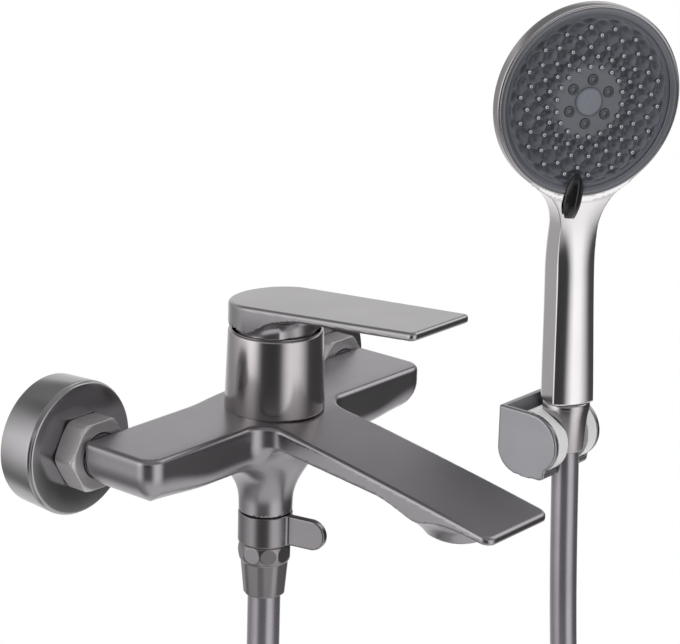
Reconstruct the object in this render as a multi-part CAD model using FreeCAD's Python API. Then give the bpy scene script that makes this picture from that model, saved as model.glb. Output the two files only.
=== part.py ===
"""Wall bath mixer set: two-inlet body with spout, lever, diverter, hose, hand shower and wall bracket.

Millimetres, +Z up. The finished wall is the plane y = 0 and the room is on its -Y side.
The origin is midway between the two wall outlets, on the wall. The pieces are drawn about
the mixer's own inlet axis and are lifted by the unions' offset on saving.
"""
import FreeCAD, Part
import math
import os

V = FreeCAD.Vector
full_turn = 360.0

# Clearances shared by mating pieces
slip_gap = 0.25
face_gap = 0.3
pin_slip = 0.1
nut_slip = 0.05
cartridge_slip = 0.15
spool_gap = 0.1
thread_play = 0.1
nut_play = 0.5

# Wall unions, escutcheons and inlet nuts
inlet_spacing = 150.0
inlet_rise = 6.0
wall_thread_r = 10.48
wall_thread_length = 14.0
wall_relief_r = 9.8
wall_relief_length = 1.5
union_shoulder_y = -0.5
union_bore_r = 6.5
union_front_bore_r = 8.0
union_collar_r = 11.4
union_collar_length = 7.0
union_overlap = 3.0
union_thread_r = 13.2
union_reach = 23.5
escutcheon_r = 27.0
escutcheon_depth = 17.8
escutcheon_wall = 1.4
escutcheon_edge_r = 1.2
escutcheon_seal_thickness = 2.0
seal_r = 17.0
nut_flats = 28.0
nut_corner_r = 15.7
nut_front_gap = 0.8
nut_lip = 1.8
filter_washer_thickness = 2.0
spigot_flange_thickness = 2.0
spigot_r = 9.2
spigot_bore_r = 6.5
spigot_depth = 10.0
shank_r = 7.2
shank_bore_r = 5.2

# Cast body with its spout
arm_end_x = 85.5
arm_depth = 37.0
body_top_z = 8.8
body_bottom_z = -12.0
arm_corner_r = 8.0
arm_back_corner_r = 10.0
arm_end_r = 7.0
arm_foot_r = 11.0
arm_edge_r = 2.2
arm_channel_r = 3.0
arm_channel_z = -5.5
spout_tip_y = -181.0
spout_half_width = 20.0
spout_break_y = -68.0
spout_slope = 0.166
spout_root_thickness = 9.3
spout_tip_thickness = 3.4
spout_corner_r = 4.5
spout_edge_r = 1.0
spout_root_r = 9.0
spout_channel_width = 16.0
spout_channel_height = 2.4
spout_channel_cover = 1.5
spout_channel_start_y = -90.0
outlet_setback = 29.0
outlet_bottom_z = -20.5
outlet_r = 12.4
outlet_edge_r = 0.6
outlet_blend_r = 6.5
outlet_sink = 1.2
outlet_bore_r = 7.0
port_r = 2.6
port_x = 5.2
port_y = -50.0
outlet_port_y = -60.5

# Aerator
aerator_r = 10.9
aerator_wall = 1.2
aerator_top_z = -10.6
aerator_drop = 0.6
aerator_cell_r = 0.7
aerator_ring_pitch = 2.4
aerator_ring_count = 3
aerator_first_count = 6

# Cartridge, its nut and the housing sleeve
cartridge_y = -55.0
cartridge_r = 14.0
cartridge_wall = 1.7
cartridge_floor_z = 10.5
seal_thickness = 1.0
base_thickness = 2.0
disc_thickness = 3.2
disc_r = 10.4
moving_disc_r = 9.4
cartridge_shoulder_z = 31.0
cartridge_top_z = 34.0
cartridge_neck_r = 11.4
carrier_neck_r = 9.4
carrier_top_z = 37.0
nut_ring_r = 16.2
nut_ring_z = 26.3
nut_ring_top_z = 33.0
boss_r = 18.0
boss_top_z = 30.0
sleeve_r = 20.0
sleeve_taper = 0.8
sleeve_wall = 1.6
sleeve_top_z = 41.7
stem_r = 3.2
stem_top_z = 50.2
slot_play = 1.5
pivot_pin_r = 1.3
foot_r = 1.7
foot_neck = 1.0
foot_pocket_r = 2.1
foot_pocket_depth = 2.0
disc_chamber_height = 0.8

# Lever
lever_pivot_z = 34.0
lever_lift_deg = 20.0
lever_lift_spare = 1.0
lever_cut_steps = 14
lever_top_z = 55.2
lever_slope = 0.085
lever_tip_y = -140.0
lever_overhang = 0.4
lever_tip_half_width = 18.4
lever_plate_thickness = 3.4
lever_corner_r = 2.5
lever_edge_r = 0.9
lever_blend_r = 7.0
lever_skirt_z = 46.2
lever_hub_play = 1.0
lever_hub_z = 40.2
hub_foot_taper = 0.8
hub_flare_r = 2.5
hub_cavity_r = 14.0
socket_r = 6.5
socket_z = 42.5
grub_screw_r = 1.5
grub_screw_z = 48.8
plug_r = 1.8
plug_length = 3.0
plug_recess = 0.4

# Diverter and hose outlet
diverter_y = -51.0
neck_r = 11.3
neck_taper = 1.2
neck_bottom_z = -38.5
neck_blend_r = 12.0
neck_sink = 3.0
collar_r = 11.5
collar_height = 13.4
nipple_r = 8.0
nipple_shank_r = 8.9
nipple_top_z = -26.0
thread_r = 10.4
nipple_thread_length = 6.8
spool_r = 6.3
spool_bore_r = 3.6
spool_cover = 2.1
spool_top_z = -13.8
chamber_top_z = -12.6
window_z = -17.5
diverter_turn_deg = 90.0
paddle_reach = 29.0
paddle_thickness = 3.2
paddle_rest_deg = 12.0
pin_r = 1.4
o_ring_r = 0.55
o_ring_levels = (-23.0, -31.0)

# Hose, its nuts and ferrules
hose_r = 7.0
hose_bore_r = 4.6
ferrule_tail_r = 4.5
ferrule_bore_r = 3.4
ferrule_flange_thickness = 2.0
ferrule_tail_length = 18.0
hose_washer_thickness = 2.0
hose_washer_r = 8.7
hose_nut_r = 11.35
hose_nut_height = 23.4
hose_nut_band = 7.9
hose_nut_foot_r = 8.3
hose_nut_flutes = 9
flute_r = 5.0
flute_depth = 0.6
flute_edge = 1.2
thread_length = 6.8

# Wall bracket and its holder
bracket_x = 256.6
bracket_z = -80.5
bracket_pivot_y = -20.5
bracket_half_width = 20.0
bracket_wall = 2.8
bracket_back_wall = 2.6
bracket_top = 16.0
bracket_back_r = 17.0
bracket_edge_r = 1.5
bracket_foot_r = 18.6
bracket_hook_reach = 9.0
bracket_hook_drop = 12.0
cheek_r = 15.8
holder_r = 15.9
holder_pin_r = 3.2
holder_pin_length = 1.4
slot_half_width = 9.0
screw_spacing = 20.0
screw_lift = 5.0
screw_hole_r = 2.1

# Hand shower
handset_forward = 8.0
handset_lean_deg = 2.4
face_turn_deg = 30.0
face_down_deg = 5.5
handle_bottom = 20.0
handset_wall = 2.3
handle_foot_half_width = 11.3
handle_half_width = 10.3
handle_half_depth = 11.0
handle_corner_r = 5.0
handle_crown = 3.2
neck_crown = 0.4
neck_start = 79.5
neck_levels = (
    (10.0, 0.0, 0.0, 0.0, 0.0),
    (24.0, 0.1, -0.5, -1.4, 0.2),
    (37.0, 1.4, -1.4, -3.6, 0.5),
    (49.0, 7.4, -2.5, -5.7, 0.8),
    (60.0, 20.2, -3.6, -7.5, 1.0),
)
head_centre = 176.3
head_front = -20.0
head_rim_width = 2.1
head_edge_r = 1.5
head_side = 10.5
head_side_r = 4.0
head_depth = 23.0
dome_share = 0.55
dome_r = 40.0
face_r = 44.0
face_recess = 1.4
face_thickness = 3.0
face_edge_r = 0.6
face_ring_width = 2.4
face_ring_depth = 2.0
face_ring_rise = 0.4
mat_thickness = 1.0
nozzle_rings = (17.6, 22.6, 27.4, 33.0, 37.0)
nozzles_per_ring = 18
nozzle_r = 0.85
nozzle_height = 1.3
jet_count = 6
jet_ring_r = 11.0
jet_r = 2.3
jet_hole_r = 1.1
jet_height = 0.8
cap_r = 6.4
cap_depth = 0.8
cap_height = 0.6
distributor_r = 34.0
distributor_thickness = 2.4
valve_seal_r = 18.0
valve_seal_inner_r = 14.0
valve_seal_thickness = 0.8
valve_seal_play = 0.05
valve_disc_thickness = 2.0
valve_port_ring_r = 7.0
valve_housing_r = 13.0
valve_housing_wall = 3.0
tab_half_length = 11.5
tab_half_width = 4.5
tab_height = 3.4
tab_offset = 3.0
tab_foot_r = 2.0
spray_rest_deg = 7.5
handset_nut_top_r = 11.4
handset_nut_foot_r = 8.5
handset_nut_height = 24.8
handset_nut_band = 7.6
stub_r = 8.4
stub_flange_thickness = 6.0
flow_thickness = 1.5
flow_hole_r = 3.0
waterway_r = 4.2
channel_gap = 0.5
waterway_end_gap = 0.95
waterway_wall = 1.0
channel_bend_z = 87.5
channel_neck_y = -5.6
channel_neck_z = 131.5
channel_bend_r = 60.0

# Route of the hanging hose below the two nuts, as (x, y, z) points of its centre line
hose_section_drop = 40.0
hose_last_run = 60.0
arc_share = 0.45
hose_route = (
    (0.0, -51.0, -150.0),
    (-4.0, -50.6, -238.0),
    (-4.5, -50.0, -325.0),
    (6.0, -49.2, -385.0),
    (30.0, -48.0, -438.0),
    (70.0, -46.2, -478.0),
    (124.0, -44.0, -494.0),
    (180.0, -41.6, -484.0),
    (226.0, -39.6, -449.0),
    (253.0, -38.2, -397.0),
    (263.0, -37.4, -337.0),
    (262.5, -36.2, -258.0),
)


def cylinder(radius, start, end):
    direction = V(*end) - V(*start)
    return Part.makeCylinder(radius, direction.Length, V(*start), direction)


def ring(outer_r, inner_r, start, end):
    return cylinder(outer_r, start, end).cut(cylinder(inner_r, start, end))


def block(low, high):
    size = V(*high) - V(*low)
    return Part.makeBox(size.x, size.y, size.z, V(*low))


def fused(shapes):
    return shapes[0].multiFuse(shapes[1:]).removeSplitter()


def cut_by(shape, tools):
    for tool in tools:
        shape = shape.cut(tool)
    return shape


def save(name, shape, lift=inlet_rise):
    shape = moved(shape, (0.0, 0.0, lift))
    solids = shape.Solids
    faulty = [s for s in solids if not s.isValid()]
    if not solids or faulty:
        print("not valid:", name, len(solids), len(faulty))
    whole = solids[0] if len(solids) == 1 else Part.makeCompound(solids)
    whole.exportStep("parts/" + name + ".step")
    print(name, len(solids), round(whole.Volume, 1))
    return whole


def outline(points, closed=True):
    """Straight edges through (x, y, z) points; a fourth number rounds that corner with a tangent arc."""
    count = len(points)
    places = [V(*p[:3]) for p in points]
    radii = [p[3] if len(p) > 3 else 0.0 for p in points]
    arrive, leave, arcs = list(places), list(places), {}
    for i in range(count):
        if radii[i] == 0.0:
            continue
        before = (places[i - 1] - places[i]).normalize()
        after = (places[(i + 1) % count] - places[i]).normalize()
        half = before.getAngle(after) / 2.0
        middle = (before + after).normalize()
        arrive[i] = places[i] + before * (radii[i] / math.tan(half))
        leave[i] = places[i] + after * (radii[i] / math.tan(half))
        peak = places[i] + middle * (radii[i] / math.sin(half) - radii[i])
        arcs[i] = Part.Arc(arrive[i], peak, leave[i]).toShape()
    edges = []
    for i in range(count):
        if i in arcs:
            edges.append(arcs[i])
        following = (i + 1) % count
        if (closed or i < count - 1) and (arrive[following] - leave[i]).Length > 1e-6:
            edges.append(Part.LineSegment(leave[i], arrive[following]).toShape())
    return Part.Wire(edges)


def prism(points, direction):
    return Part.Face(outline(points)).extrude(V(*direction))


def side_prism(points, low_x, high_x):
    """Extrude a side outline of (y, z) or (y, z, corner radius) points between two x."""
    corners = [(low_x,) + tuple(p) for p in points]
    return prism(corners, (high_x - low_x, 0.0, 0.0))


def plan_prism(points, low_z, high_z):
    """Extrude a plan outline of (x, y) or (x, y, corner radius) points between two z."""
    corners = [(p[0], p[1], low_z) + tuple(p[2:]) for p in points]
    return prism(corners, (0.0, 0.0, high_z - low_z))


def turned(profile, centre, axis, radial):
    """Turn (radius, height) or (radius, height, corner radius) points about the axis through centre."""
    along, out = V(*axis), V(*radial)
    corners = []
    for entry in profile:
        place = V(*centre) + out * entry[0] + along * entry[1]
        corners.append((place.x, place.y, place.z) + tuple(entry[2:]))
    return Part.Face(outline(corners)).revolve(V(*centre), along, full_turn)


def turned_up(profile, x, y):
    """Turn (radius, z) points about a vertical axis."""
    return turned(profile, (x, y, 0.0), (0, 0, 1), (1, 0, 0))


def moved(shape, offset):
    shape = shape.copy()
    shape.translate(V(*offset))
    return shape


def spun(shape, centre, axis, degrees):
    shape = shape.copy()
    shape.rotate(V(*centre), V(*axis), degrees)
    return shape


def around(shape, centre, axis, count, start=0.0):
    return [spun(shape, centre, axis, start + full_turn * i / count) for i in range(count)]


def hex_prism(flats, corner_r, centre, end_y):
    """Hexagonal bar along Y with a corner toward -X and its corners turned down to corner_r."""
    radius = flats / math.sqrt(3.0)
    x, y, z = centre
    points = []
    for step in range(6):
        a = math.radians(60.0 * step)
        points.append((x + radius * math.cos(a), y, z + radius * math.sin(a)))
    return prism(points, (0.0, end_y - y, 0.0)).common(cylinder(corner_r, centre, (x, end_y, z)))


# Places that follow from the sizes above

outlet_y = spout_tip_y + outlet_setback
nut_back_y = -(escutcheon_depth + nut_front_gap)
washer_front_y = -(union_reach + filter_washer_thickness)
flange_front_y = washer_front_y - spigot_flange_thickness
nut_front_y = flange_front_y - nut_lip
arm_back_y = nut_front_y - nut_front_gap
arm_front_y = arm_back_y - arm_depth
disc_floor_z = cartridge_floor_z + seal_thickness + base_thickness
moving_disc_z = disc_floor_z + disc_thickness
carrier_z = moving_disc_z + disc_thickness + slip_gap
cartridge_inner_r = cartridge_r - cartridge_wall
carrier_r = cartridge_inner_r - slip_gap
foot_z = moving_disc_z + disc_thickness
foot_drop = lever_pivot_z - foot_z
disc_travel = foot_drop * math.sin(math.radians(lever_lift_deg))
sleeve_inner_r = sleeve_r - sleeve_wall
sleeve_top_r = sleeve_r - sleeve_taper
lever_back_r = sleeve_top_r + lever_overhang
lever_hub_r = sleeve_inner_r - lever_hub_play
collar_top_z = neck_bottom_z - face_gap
collar_bottom_z = collar_top_z - collar_height
nipple_thread_top_z = collar_bottom_z - face_gap
nipple_bottom_z = nipple_thread_top_z - nipple_thread_length
chamber_r = spool_r + spool_gap
pin_z = collar_top_z - collar_height / 2.0
spool_bottom_z = pin_z - pin_r - spool_cover
holder_pivot = (bracket_x, bracket_pivot_y, bracket_z)
face_ring_r = face_r + face_ring_width
head_r = face_ring_r + head_rim_width
tab_centre_r = face_r + tab_offset
plate_front_h = -face_recess
plate_back_h = plate_front_h - face_thickness
mat_back_h = plate_back_h - mat_thickness
distributor_back_h = mat_back_h - distributor_thickness
seal_front_h = distributor_back_h - valve_seal_play
valve_front_h = seal_front_h - valve_seal_thickness
valve_back_h = valve_front_h - valve_disc_thickness
valve_inlet_h = (valve_back_h + handset_wall - head_depth) / 2.0


def spout_top(y):
    return body_top_z + spout_slope * min(0.0, y - spout_break_y)


def spout_bottom(y):
    root_z = body_top_z - spout_root_thickness
    tip_z = spout_top(spout_tip_y) - spout_tip_thickness
    share = (y - arm_front_y) / (spout_tip_y - arm_front_y)
    return root_z + (tip_z - root_z) * share


def union_and_escutcheon(side):
    """Eccentric wall union with its thread in the wall, and the round escutcheon over it."""
    x = side * inlet_spacing / 2.0
    low = -inlet_rise
    union = fused([
        cylinder(wall_thread_r, (x, wall_thread_length, low), (x, wall_relief_length, low)),
        cylinder(wall_relief_r, (x, wall_relief_length, low), (x, union_shoulder_y, low)),
        cylinder(union_collar_r, (x, union_shoulder_y, low), (x, -union_collar_length, low)),
        cylinder(union_thread_r, (x, union_shoulder_y, 0.0), (x, -union_reach, 0.0)),
    ])
    union = cut_by(union, [
        cylinder(union_bore_r, (x, wall_thread_length, low), (x, -union_collar_length, low)),
        cylinder(union_front_bore_r, (x, -union_collar_length + union_overlap, 0.0), (x, -union_reach, 0.0)),
    ])
    inner_r = escutcheon_r - escutcheon_wall
    inner_h = escutcheon_depth - escutcheon_wall
    hole_r = union_thread_r + slip_gap
    escutcheon = turned([
        (escutcheon_r, face_gap),
        (escutcheon_r, escutcheon_depth, escutcheon_edge_r),
        (hole_r, escutcheon_depth),
        (hole_r, inner_h),
        (inner_r, inner_h),
        (inner_r, face_gap),
    ], (x, 0.0, 0.0), (0, -1, 0), (1, 0, 0))
    seal = ring(seal_r, union_thread_r, (x, -inner_h, 0.0), (x, -inner_h + escutcheon_seal_thickness, 0.0))
    return union, escutcheon, seal


def inlet_fitting(side):
    """Union nut, filter washer and the flanged spigot screwed into the arm."""
    x = side * inlet_spacing / 2.0
    nut = hex_prism(nut_flats, nut_corner_r, (x, nut_back_y, 0.0), nut_front_y)
    nut = cut_by(nut, [
        cylinder(union_thread_r + nut_slip, (x, nut_back_y, 0.0), (x, flange_front_y, 0.0)),
        cylinder(spigot_r + slip_gap, (x, nut_back_y, 0.0), (x, nut_front_y, 0.0)),
    ])
    washer = ring(union_thread_r - slip_gap, spigot_bore_r, (x, -union_reach, 0.0), (x, washer_front_y, 0.0))
    spigot = fused([
        cylinder(union_thread_r - slip_gap, (x, washer_front_y, 0.0), (x, flange_front_y, 0.0)),
        cylinder(spigot_r, (x, flange_front_y, 0.0), (x, arm_back_y, 0.0)),
        cylinder(shank_r, (x, arm_back_y, 0.0), (x, arm_back_y - spigot_depth, 0.0)),
    ])
    spigot = spigot.cut(cylinder(shank_bore_r, (x, 0.0, 0.0), (x, arm_back_y - spigot_depth, 0.0)))
    return nut, washer, spigot


def cross_arm():
    """Arm with a rounded underside, rounded front corners and rounded feet at both ends."""
    arm = side_prism([
        (arm_back_y, body_top_z, arm_edge_r),
        (arm_front_y, body_top_z, arm_edge_r),
        (arm_front_y, body_bottom_z, arm_corner_r),
        (arm_back_y, body_bottom_z, arm_back_corner_r),
    ], -arm_end_x, arm_end_x)
    plan = plan_prism([
        (-arm_end_x, arm_back_y, arm_edge_r),
        (arm_end_x, arm_back_y, arm_edge_r),
        (arm_end_x, arm_front_y, arm_end_r),
        (-arm_end_x, arm_front_y, arm_end_r),
    ], body_bottom_z, body_top_z)
    ends = prism([
        (-arm_end_x, arm_back_y, body_top_z),
        (arm_end_x, arm_back_y, body_top_z),
        (arm_end_x, arm_back_y, body_bottom_z, arm_foot_r),
        (-arm_end_x, arm_back_y, body_bottom_z, arm_foot_r),
    ], (0.0, -arm_depth, 0.0))
    return arm.common(plan).common(ends)


def spout():
    """Flat spout with rounded tip corners and the two concave roots at the arm."""
    root_y = arm_front_y + arm_corner_r
    section = [
        (root_y, body_top_z),
        (spout_break_y, body_top_z),
        (spout_tip_y, spout_top(spout_tip_y), spout_edge_r),
        (spout_tip_y, spout_bottom(spout_tip_y), spout_edge_r),
        (root_y, spout_bottom(root_y)),
    ]
    tongue = side_prism(section, -spout_half_width, spout_half_width)
    plan = plan_prism([
        (-spout_half_width, root_y),
        (spout_half_width, root_y),
        (spout_half_width, spout_tip_y, spout_corner_r),
        (-spout_half_width, spout_tip_y, spout_corner_r),
    ], 2.0 * spout_bottom(spout_tip_y), body_top_z)
    wide = spout_half_width + spout_root_r
    roots = side_prism(section, -wide, wide)
    low = 2.0 * body_bottom_z
    end_y = arm_front_y - spout_root_r
    roots = roots.common(block((-wide, end_y, low), (wide, root_y, body_top_z)))
    for side in (-1, 1):
        roots = roots.cut(cylinder(spout_root_r, (side * wide, end_y, low), (side * wide, end_y, body_top_z)))
    return tongue.common(plan), roots


def outlet_boss():
    """Round boss under the spout that holds the aerator, flowing into the underside."""
    flare_z = spout_bottom(outlet_y)
    return turned_up([
        (0.0, outlet_bottom_z),
        (outlet_r, outlet_bottom_z, outlet_edge_r),
        (outlet_r, flare_z, outlet_blend_r),
        (outlet_r + outlet_blend_r, flare_z),
        (outlet_r + outlet_blend_r, flare_z + outlet_sink),
        (0.0, flare_z + outlet_sink),
    ], 0.0, outlet_y)


def diverter_neck():
    """Round neck below the body, flaring out into the underside of the arm."""
    neck = turned_up([
        (0.0, neck_bottom_z),
        (neck_r, neck_bottom_z),
        (neck_r + neck_taper, body_bottom_z, neck_blend_r),
        (neck_r + neck_blend_r + neck_taper, body_bottom_z + neck_sink),
        (0.0, body_bottom_z + neck_sink),
    ], 0.0, diverter_y)
    inset = arm_corner_r / 4.0
    keep = side_prism([
        (arm_back_y - 2.0 * inset, body_top_z),
        (arm_back_y - 2.0 * inset, body_bottom_z + 2.0 * inset),
        (diverter_y + neck_r, neck_bottom_z),
        (diverter_y - neck_r, neck_bottom_z),
        (arm_front_y + inset, body_bottom_z + 2.0 * inset),
        (arm_front_y + inset, body_top_z),
    ], -arm_end_x, arm_end_x)
    return neck.common(keep)


def waterways():
    """Drillings from the inlets to the cartridge and from there to the diverter and the spout."""
    ways = []
    for side in (-1, 1):
        x = side * inlet_spacing / 2.0
        start_y = arm_back_y
        end_y = port_y
        ways.append(cylinder(shank_r, (x, start_y, 0.0), (x, start_y - spigot_depth, 0.0)))
        ways.append(cylinder(shank_bore_r, (x, start_y, 0.0), (x, end_y, 0.0)))
        ways.append(cylinder(arm_channel_r, (x, end_y, arm_channel_z), (side * port_x, end_y, arm_channel_z)))
    ways += cartridge_ports(arm_channel_z, cartridge_floor_z)
    ways.append(cylinder(port_r, (0.0, outlet_port_y, chamber_top_z), (0.0, outlet_port_y, arm_channel_z)))
    ways.append(cylinder(chamber_r, (0.0, diverter_y, neck_bottom_z), (0.0, diverter_y, chamber_top_z)))
    ways.append(cylinder(nipple_shank_r, (0.0, diverter_y, neck_bottom_z), (0.0, diverter_y, nipple_top_z)))
    start = (0.0, diverter_y, window_z)
    end = (0.0, spout_channel_start_y, spout_top(spout_channel_start_y) - spout_channel_cover - port_r)
    ways.append(cylinder(port_r, start, end))
    half = spout_channel_width / 2.0
    section = []
    for y, share in ((spout_channel_start_y, 0), (outlet_y, 0), (outlet_y, 1), (spout_channel_start_y, 1)):
        section.append((y, spout_top(y) - spout_channel_cover - share * spout_channel_height))
    ways.append(side_prism(section, -half, half))
    roof_z = spout_top(outlet_y) - spout_channel_cover - spout_channel_height / 2.0
    ways.append(cylinder(outlet_bore_r, (0.0, outlet_y, roof_z), (0.0, outlet_y, aerator_top_z)))
    ways.append(cylinder(aerator_r, (0.0, outlet_y, outlet_bottom_z), (0.0, outlet_y, aerator_top_z)))
    return ways


def mixer_body():
    tongue, roots = spout()
    boss = cylinder(boss_r, (0.0, cartridge_y, 0.0), (0.0, cartridge_y, boss_top_z))
    body = fused([cross_arm(), tongue, roots, outlet_boss(), diverter_neck(), boss])
    body = body.cut(cylinder(cartridge_r + cartridge_slip, (0.0, cartridge_y, cartridge_floor_z),
                             (0.0, cartridge_y, boss_top_z)))
    body = body.cut(cylinder(nut_ring_r, (0.0, cartridge_y, nut_ring_z), (0.0, cartridge_y, boss_top_z)))
    return cut_by(body, waterways())


def housing_sleeve():
    """Sleeve round the cartridge, a little narrower at its rim."""
    return turned_up([
        (sleeve_inner_r, body_top_z),
        (sleeve_r, body_top_z),
        (sleeve_top_r, sleeve_top_z),
        (sleeve_inner_r, sleeve_top_z),
    ], 0.0, cartridge_y)


def on_cartridge(z):
    return (0.0, cartridge_y, z)


def cartridge_ports(low_z, high_z):
    """The three holes that the body, seal, base and fixed disc share."""
    holes = [cylinder(port_r, (0.0, outlet_port_y, low_z), (0.0, outlet_port_y, high_z))]
    for side in (-1, 1):
        holes.append(cylinder(port_r, (side * port_x, port_y, low_z), (side * port_x, port_y, high_z)))
    return holes


def cartridge_parts():
    seal_top = cartridge_floor_z + seal_thickness
    cover_z = cartridge_shoulder_z - cartridge_wall
    parts = {}
    casing = fused([
        ring(cartridge_r, cartridge_inner_r, on_cartridge(seal_top), on_cartridge(cartridge_shoulder_z)),
        ring(cartridge_inner_r, carrier_neck_r + slip_gap, on_cartridge(cover_z),
             on_cartridge(cartridge_shoulder_z)),
        ring(cartridge_neck_r, carrier_neck_r + slip_gap, on_cartridge(cartridge_shoulder_z),
             on_cartridge(cartridge_top_z)),
    ])
    parts["cartridge_body"] = casing
    seal = cylinder(cartridge_r - slip_gap, on_cartridge(cartridge_floor_z), on_cartridge(seal_top))
    parts["cartridge_seal"] = cut_by(seal, cartridge_ports(cartridge_floor_z, seal_top))
    base = cylinder(cartridge_inner_r, on_cartridge(seal_top), on_cartridge(disc_floor_z))
    parts["cartridge_base"] = cut_by(base, cartridge_ports(seal_top, disc_floor_z))
    fixed = cylinder(disc_r, on_cartridge(disc_floor_z), on_cartridge(moving_disc_z))
    parts["ceramic_disc_fixed"] = cut_by(fixed, cartridge_ports(disc_floor_z, moving_disc_z))
    centre_y = cartridge_y + disc_travel / 2.0
    moving = cylinder(moving_disc_r, (0.0, centre_y, moving_disc_z), (0.0, centre_y, foot_z))
    chamber_low = (-port_x, centre_y - port_x, moving_disc_z)
    chamber_high = (port_x, centre_y + port_x, moving_disc_z + disc_chamber_height)
    moving = cut_by(moving, [
        cylinder(foot_pocket_r, on_cartridge(foot_z - foot_pocket_depth), on_cartridge(foot_z)),
        block(chamber_low, chamber_high),
    ])
    parts["ceramic_disc_moving"] = moving
    slot_half = stem_r + slip_gap
    carrier = fused([
        cylinder(carrier_r, on_cartridge(carrier_z), on_cartridge(cover_z - slip_gap)),
        cylinder(carrier_neck_r, on_cartridge(carrier_z), on_cartridge(carrier_top_z)),
    ])
    slot_back_y = cartridge_y + stem_r + slot_play
    slot = block((-slot_half, cartridge_y - foot_drop, 0.0), (slot_half, slot_back_y, carrier_top_z))
    mouth = block((-slot_half, cartridge_y - foot_drop, lever_pivot_z - stem_r),
                  (slot_half, cartridge_y + foot_drop, carrier_top_z))
    pin_hole = cylinder(pivot_pin_r, (-carrier_neck_r, cartridge_y, lever_pivot_z),
                        (carrier_neck_r, cartridge_y, lever_pivot_z))
    parts["temperature_carrier"] = cut_by(carrier, [slot, mouth, pin_hole])
    parts["stem_pivot_pin"] = cylinder(pivot_pin_r, (-carrier_neck_r, cartridge_y, lever_pivot_z),
                                       (carrier_neck_r, cartridge_y, lever_pivot_z))
    stem = fused([
        cylinder(stem_r, on_cartridge(foot_z + foot_neck), on_cartridge(lever_pivot_z + stem_r)),
        block((-stem_r, cartridge_y - stem_r, lever_pivot_z), (stem_r, cartridge_y + stem_r, stem_top_z)),
        Part.makeSphere(foot_r, V(0.0, cartridge_y, foot_z)),
    ])
    parts["lever_stem"] = stem.cut(cylinder(pivot_pin_r + pin_slip, (-stem_r, cartridge_y, lever_pivot_z),
                                            (stem_r, cartridge_y, lever_pivot_z)))
    nut = fused([
        ring(nut_ring_r, cartridge_r + cartridge_slip, on_cartridge(nut_ring_z),
             on_cartridge(cartridge_shoulder_z)),
        ring(nut_ring_r, cartridge_neck_r + slip_gap, on_cartridge(cartridge_shoulder_z),
             on_cartridge(nut_ring_top_z)),
    ])
    parts["cartridge_nut"] = nut
    return parts


def lever_top(y):
    return lever_top_z + lever_slope * (cartridge_y - y)


def lever_under(y):
    return lever_top(y) - lever_plate_thickness


def lever_parts():
    back_y = cartridge_y + lever_back_r
    hub_front_y = cartridge_y - lever_back_r
    side = side_prism([
        (back_y, lever_skirt_z),
        (hub_front_y, lever_skirt_z),
        (hub_front_y, lever_under(hub_front_y), lever_blend_r),
        (lever_tip_y, lever_under(lever_tip_y), lever_edge_r),
        (lever_tip_y, lever_top(lever_tip_y), lever_edge_r),
        (back_y, lever_top(back_y)),
    ], -lever_back_r, lever_back_r)
    tall = 2.0 * lever_top(lever_tip_y)
    paddle = plan_prism([
        (-lever_back_r, cartridge_y),
        (-lever_tip_half_width, lever_tip_y, lever_corner_r),
        (lever_tip_half_width, lever_tip_y, lever_corner_r),
        (lever_back_r, cartridge_y),
    ], 0.0, tall)
    plan = paddle.fuse(cylinder(lever_back_r, on_cartridge(0.0), on_cartridge(tall)))
    hub = turned_up([
        (0.0, lever_hub_z),
        (lever_hub_r - hub_foot_taper, lever_hub_z),
        (lever_hub_r, sleeve_top_z + face_gap),
        (lever_back_r, lever_skirt_z, hub_flare_r),
        (lever_back_r, tall),
        (0.0, tall),
    ], 0.0, cartridge_y)
    below_top = side_prism([
        (back_y, 0.0),
        (hub_front_y, 0.0),
        (hub_front_y, lever_top(hub_front_y)),
        (back_y, lever_top(back_y)),
    ], -lever_back_r, lever_back_r)
    lever = fused([side.common(plan), hub.common(below_top)])
    roof_z = lever_under(cartridge_y + hub_cavity_r)
    lever = lever.cut(cylinder(hub_cavity_r, on_cartridge(lever_hub_z), on_cartridge(roof_z)))
    socket = cylinder(socket_r, on_cartridge(socket_z), on_cartridge(roof_z + face_gap))
    hole = stem_r + pin_slip
    lever = fused([lever, socket])
    lever = lever.cut(block((-hole, cartridge_y - hole, socket_z), (hole, cartridge_y + hole, stem_top_z)))
    screw_end = (0.0, cartridge_y + hole, grub_screw_z)
    screw_start = (0.0, cartridge_y + socket_r, grub_screw_z)
    plug_end = (0.0, back_y - plug_length, grub_screw_z)
    lever = lever.cut(cylinder(grub_screw_r, screw_end, (0.0, back_y, grub_screw_z)))
    lever = lever.cut(cylinder(plug_r, plug_end, (0.0, back_y, grub_screw_z)))
    rim = ring(sleeve_r + face_gap, sleeve_inner_r - face_gap, on_cartridge(lever_pivot_z / 2.0),
               on_cartridge(sleeve_top_z + face_gap))
    for step in range(lever_cut_steps + 1):
        angle = (lever_lift_deg + lever_lift_spare) * step / lever_cut_steps
        lever = lever.cut(spun(rim, on_cartridge(lever_pivot_z), (1, 0, 0), angle))
    screw = cylinder(grub_screw_r, screw_end, screw_start)
    plug = cylinder(plug_r, plug_end, (0.0, back_y - plug_recess, grub_screw_z))
    plug = plug.common(cylinder(lever_back_r, on_cartridge(0.0), on_cartridge(tall)))
    return {"lever_handle": lever, "lever_grub_screw": screw, "lever_screw_plug": plug}


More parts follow.
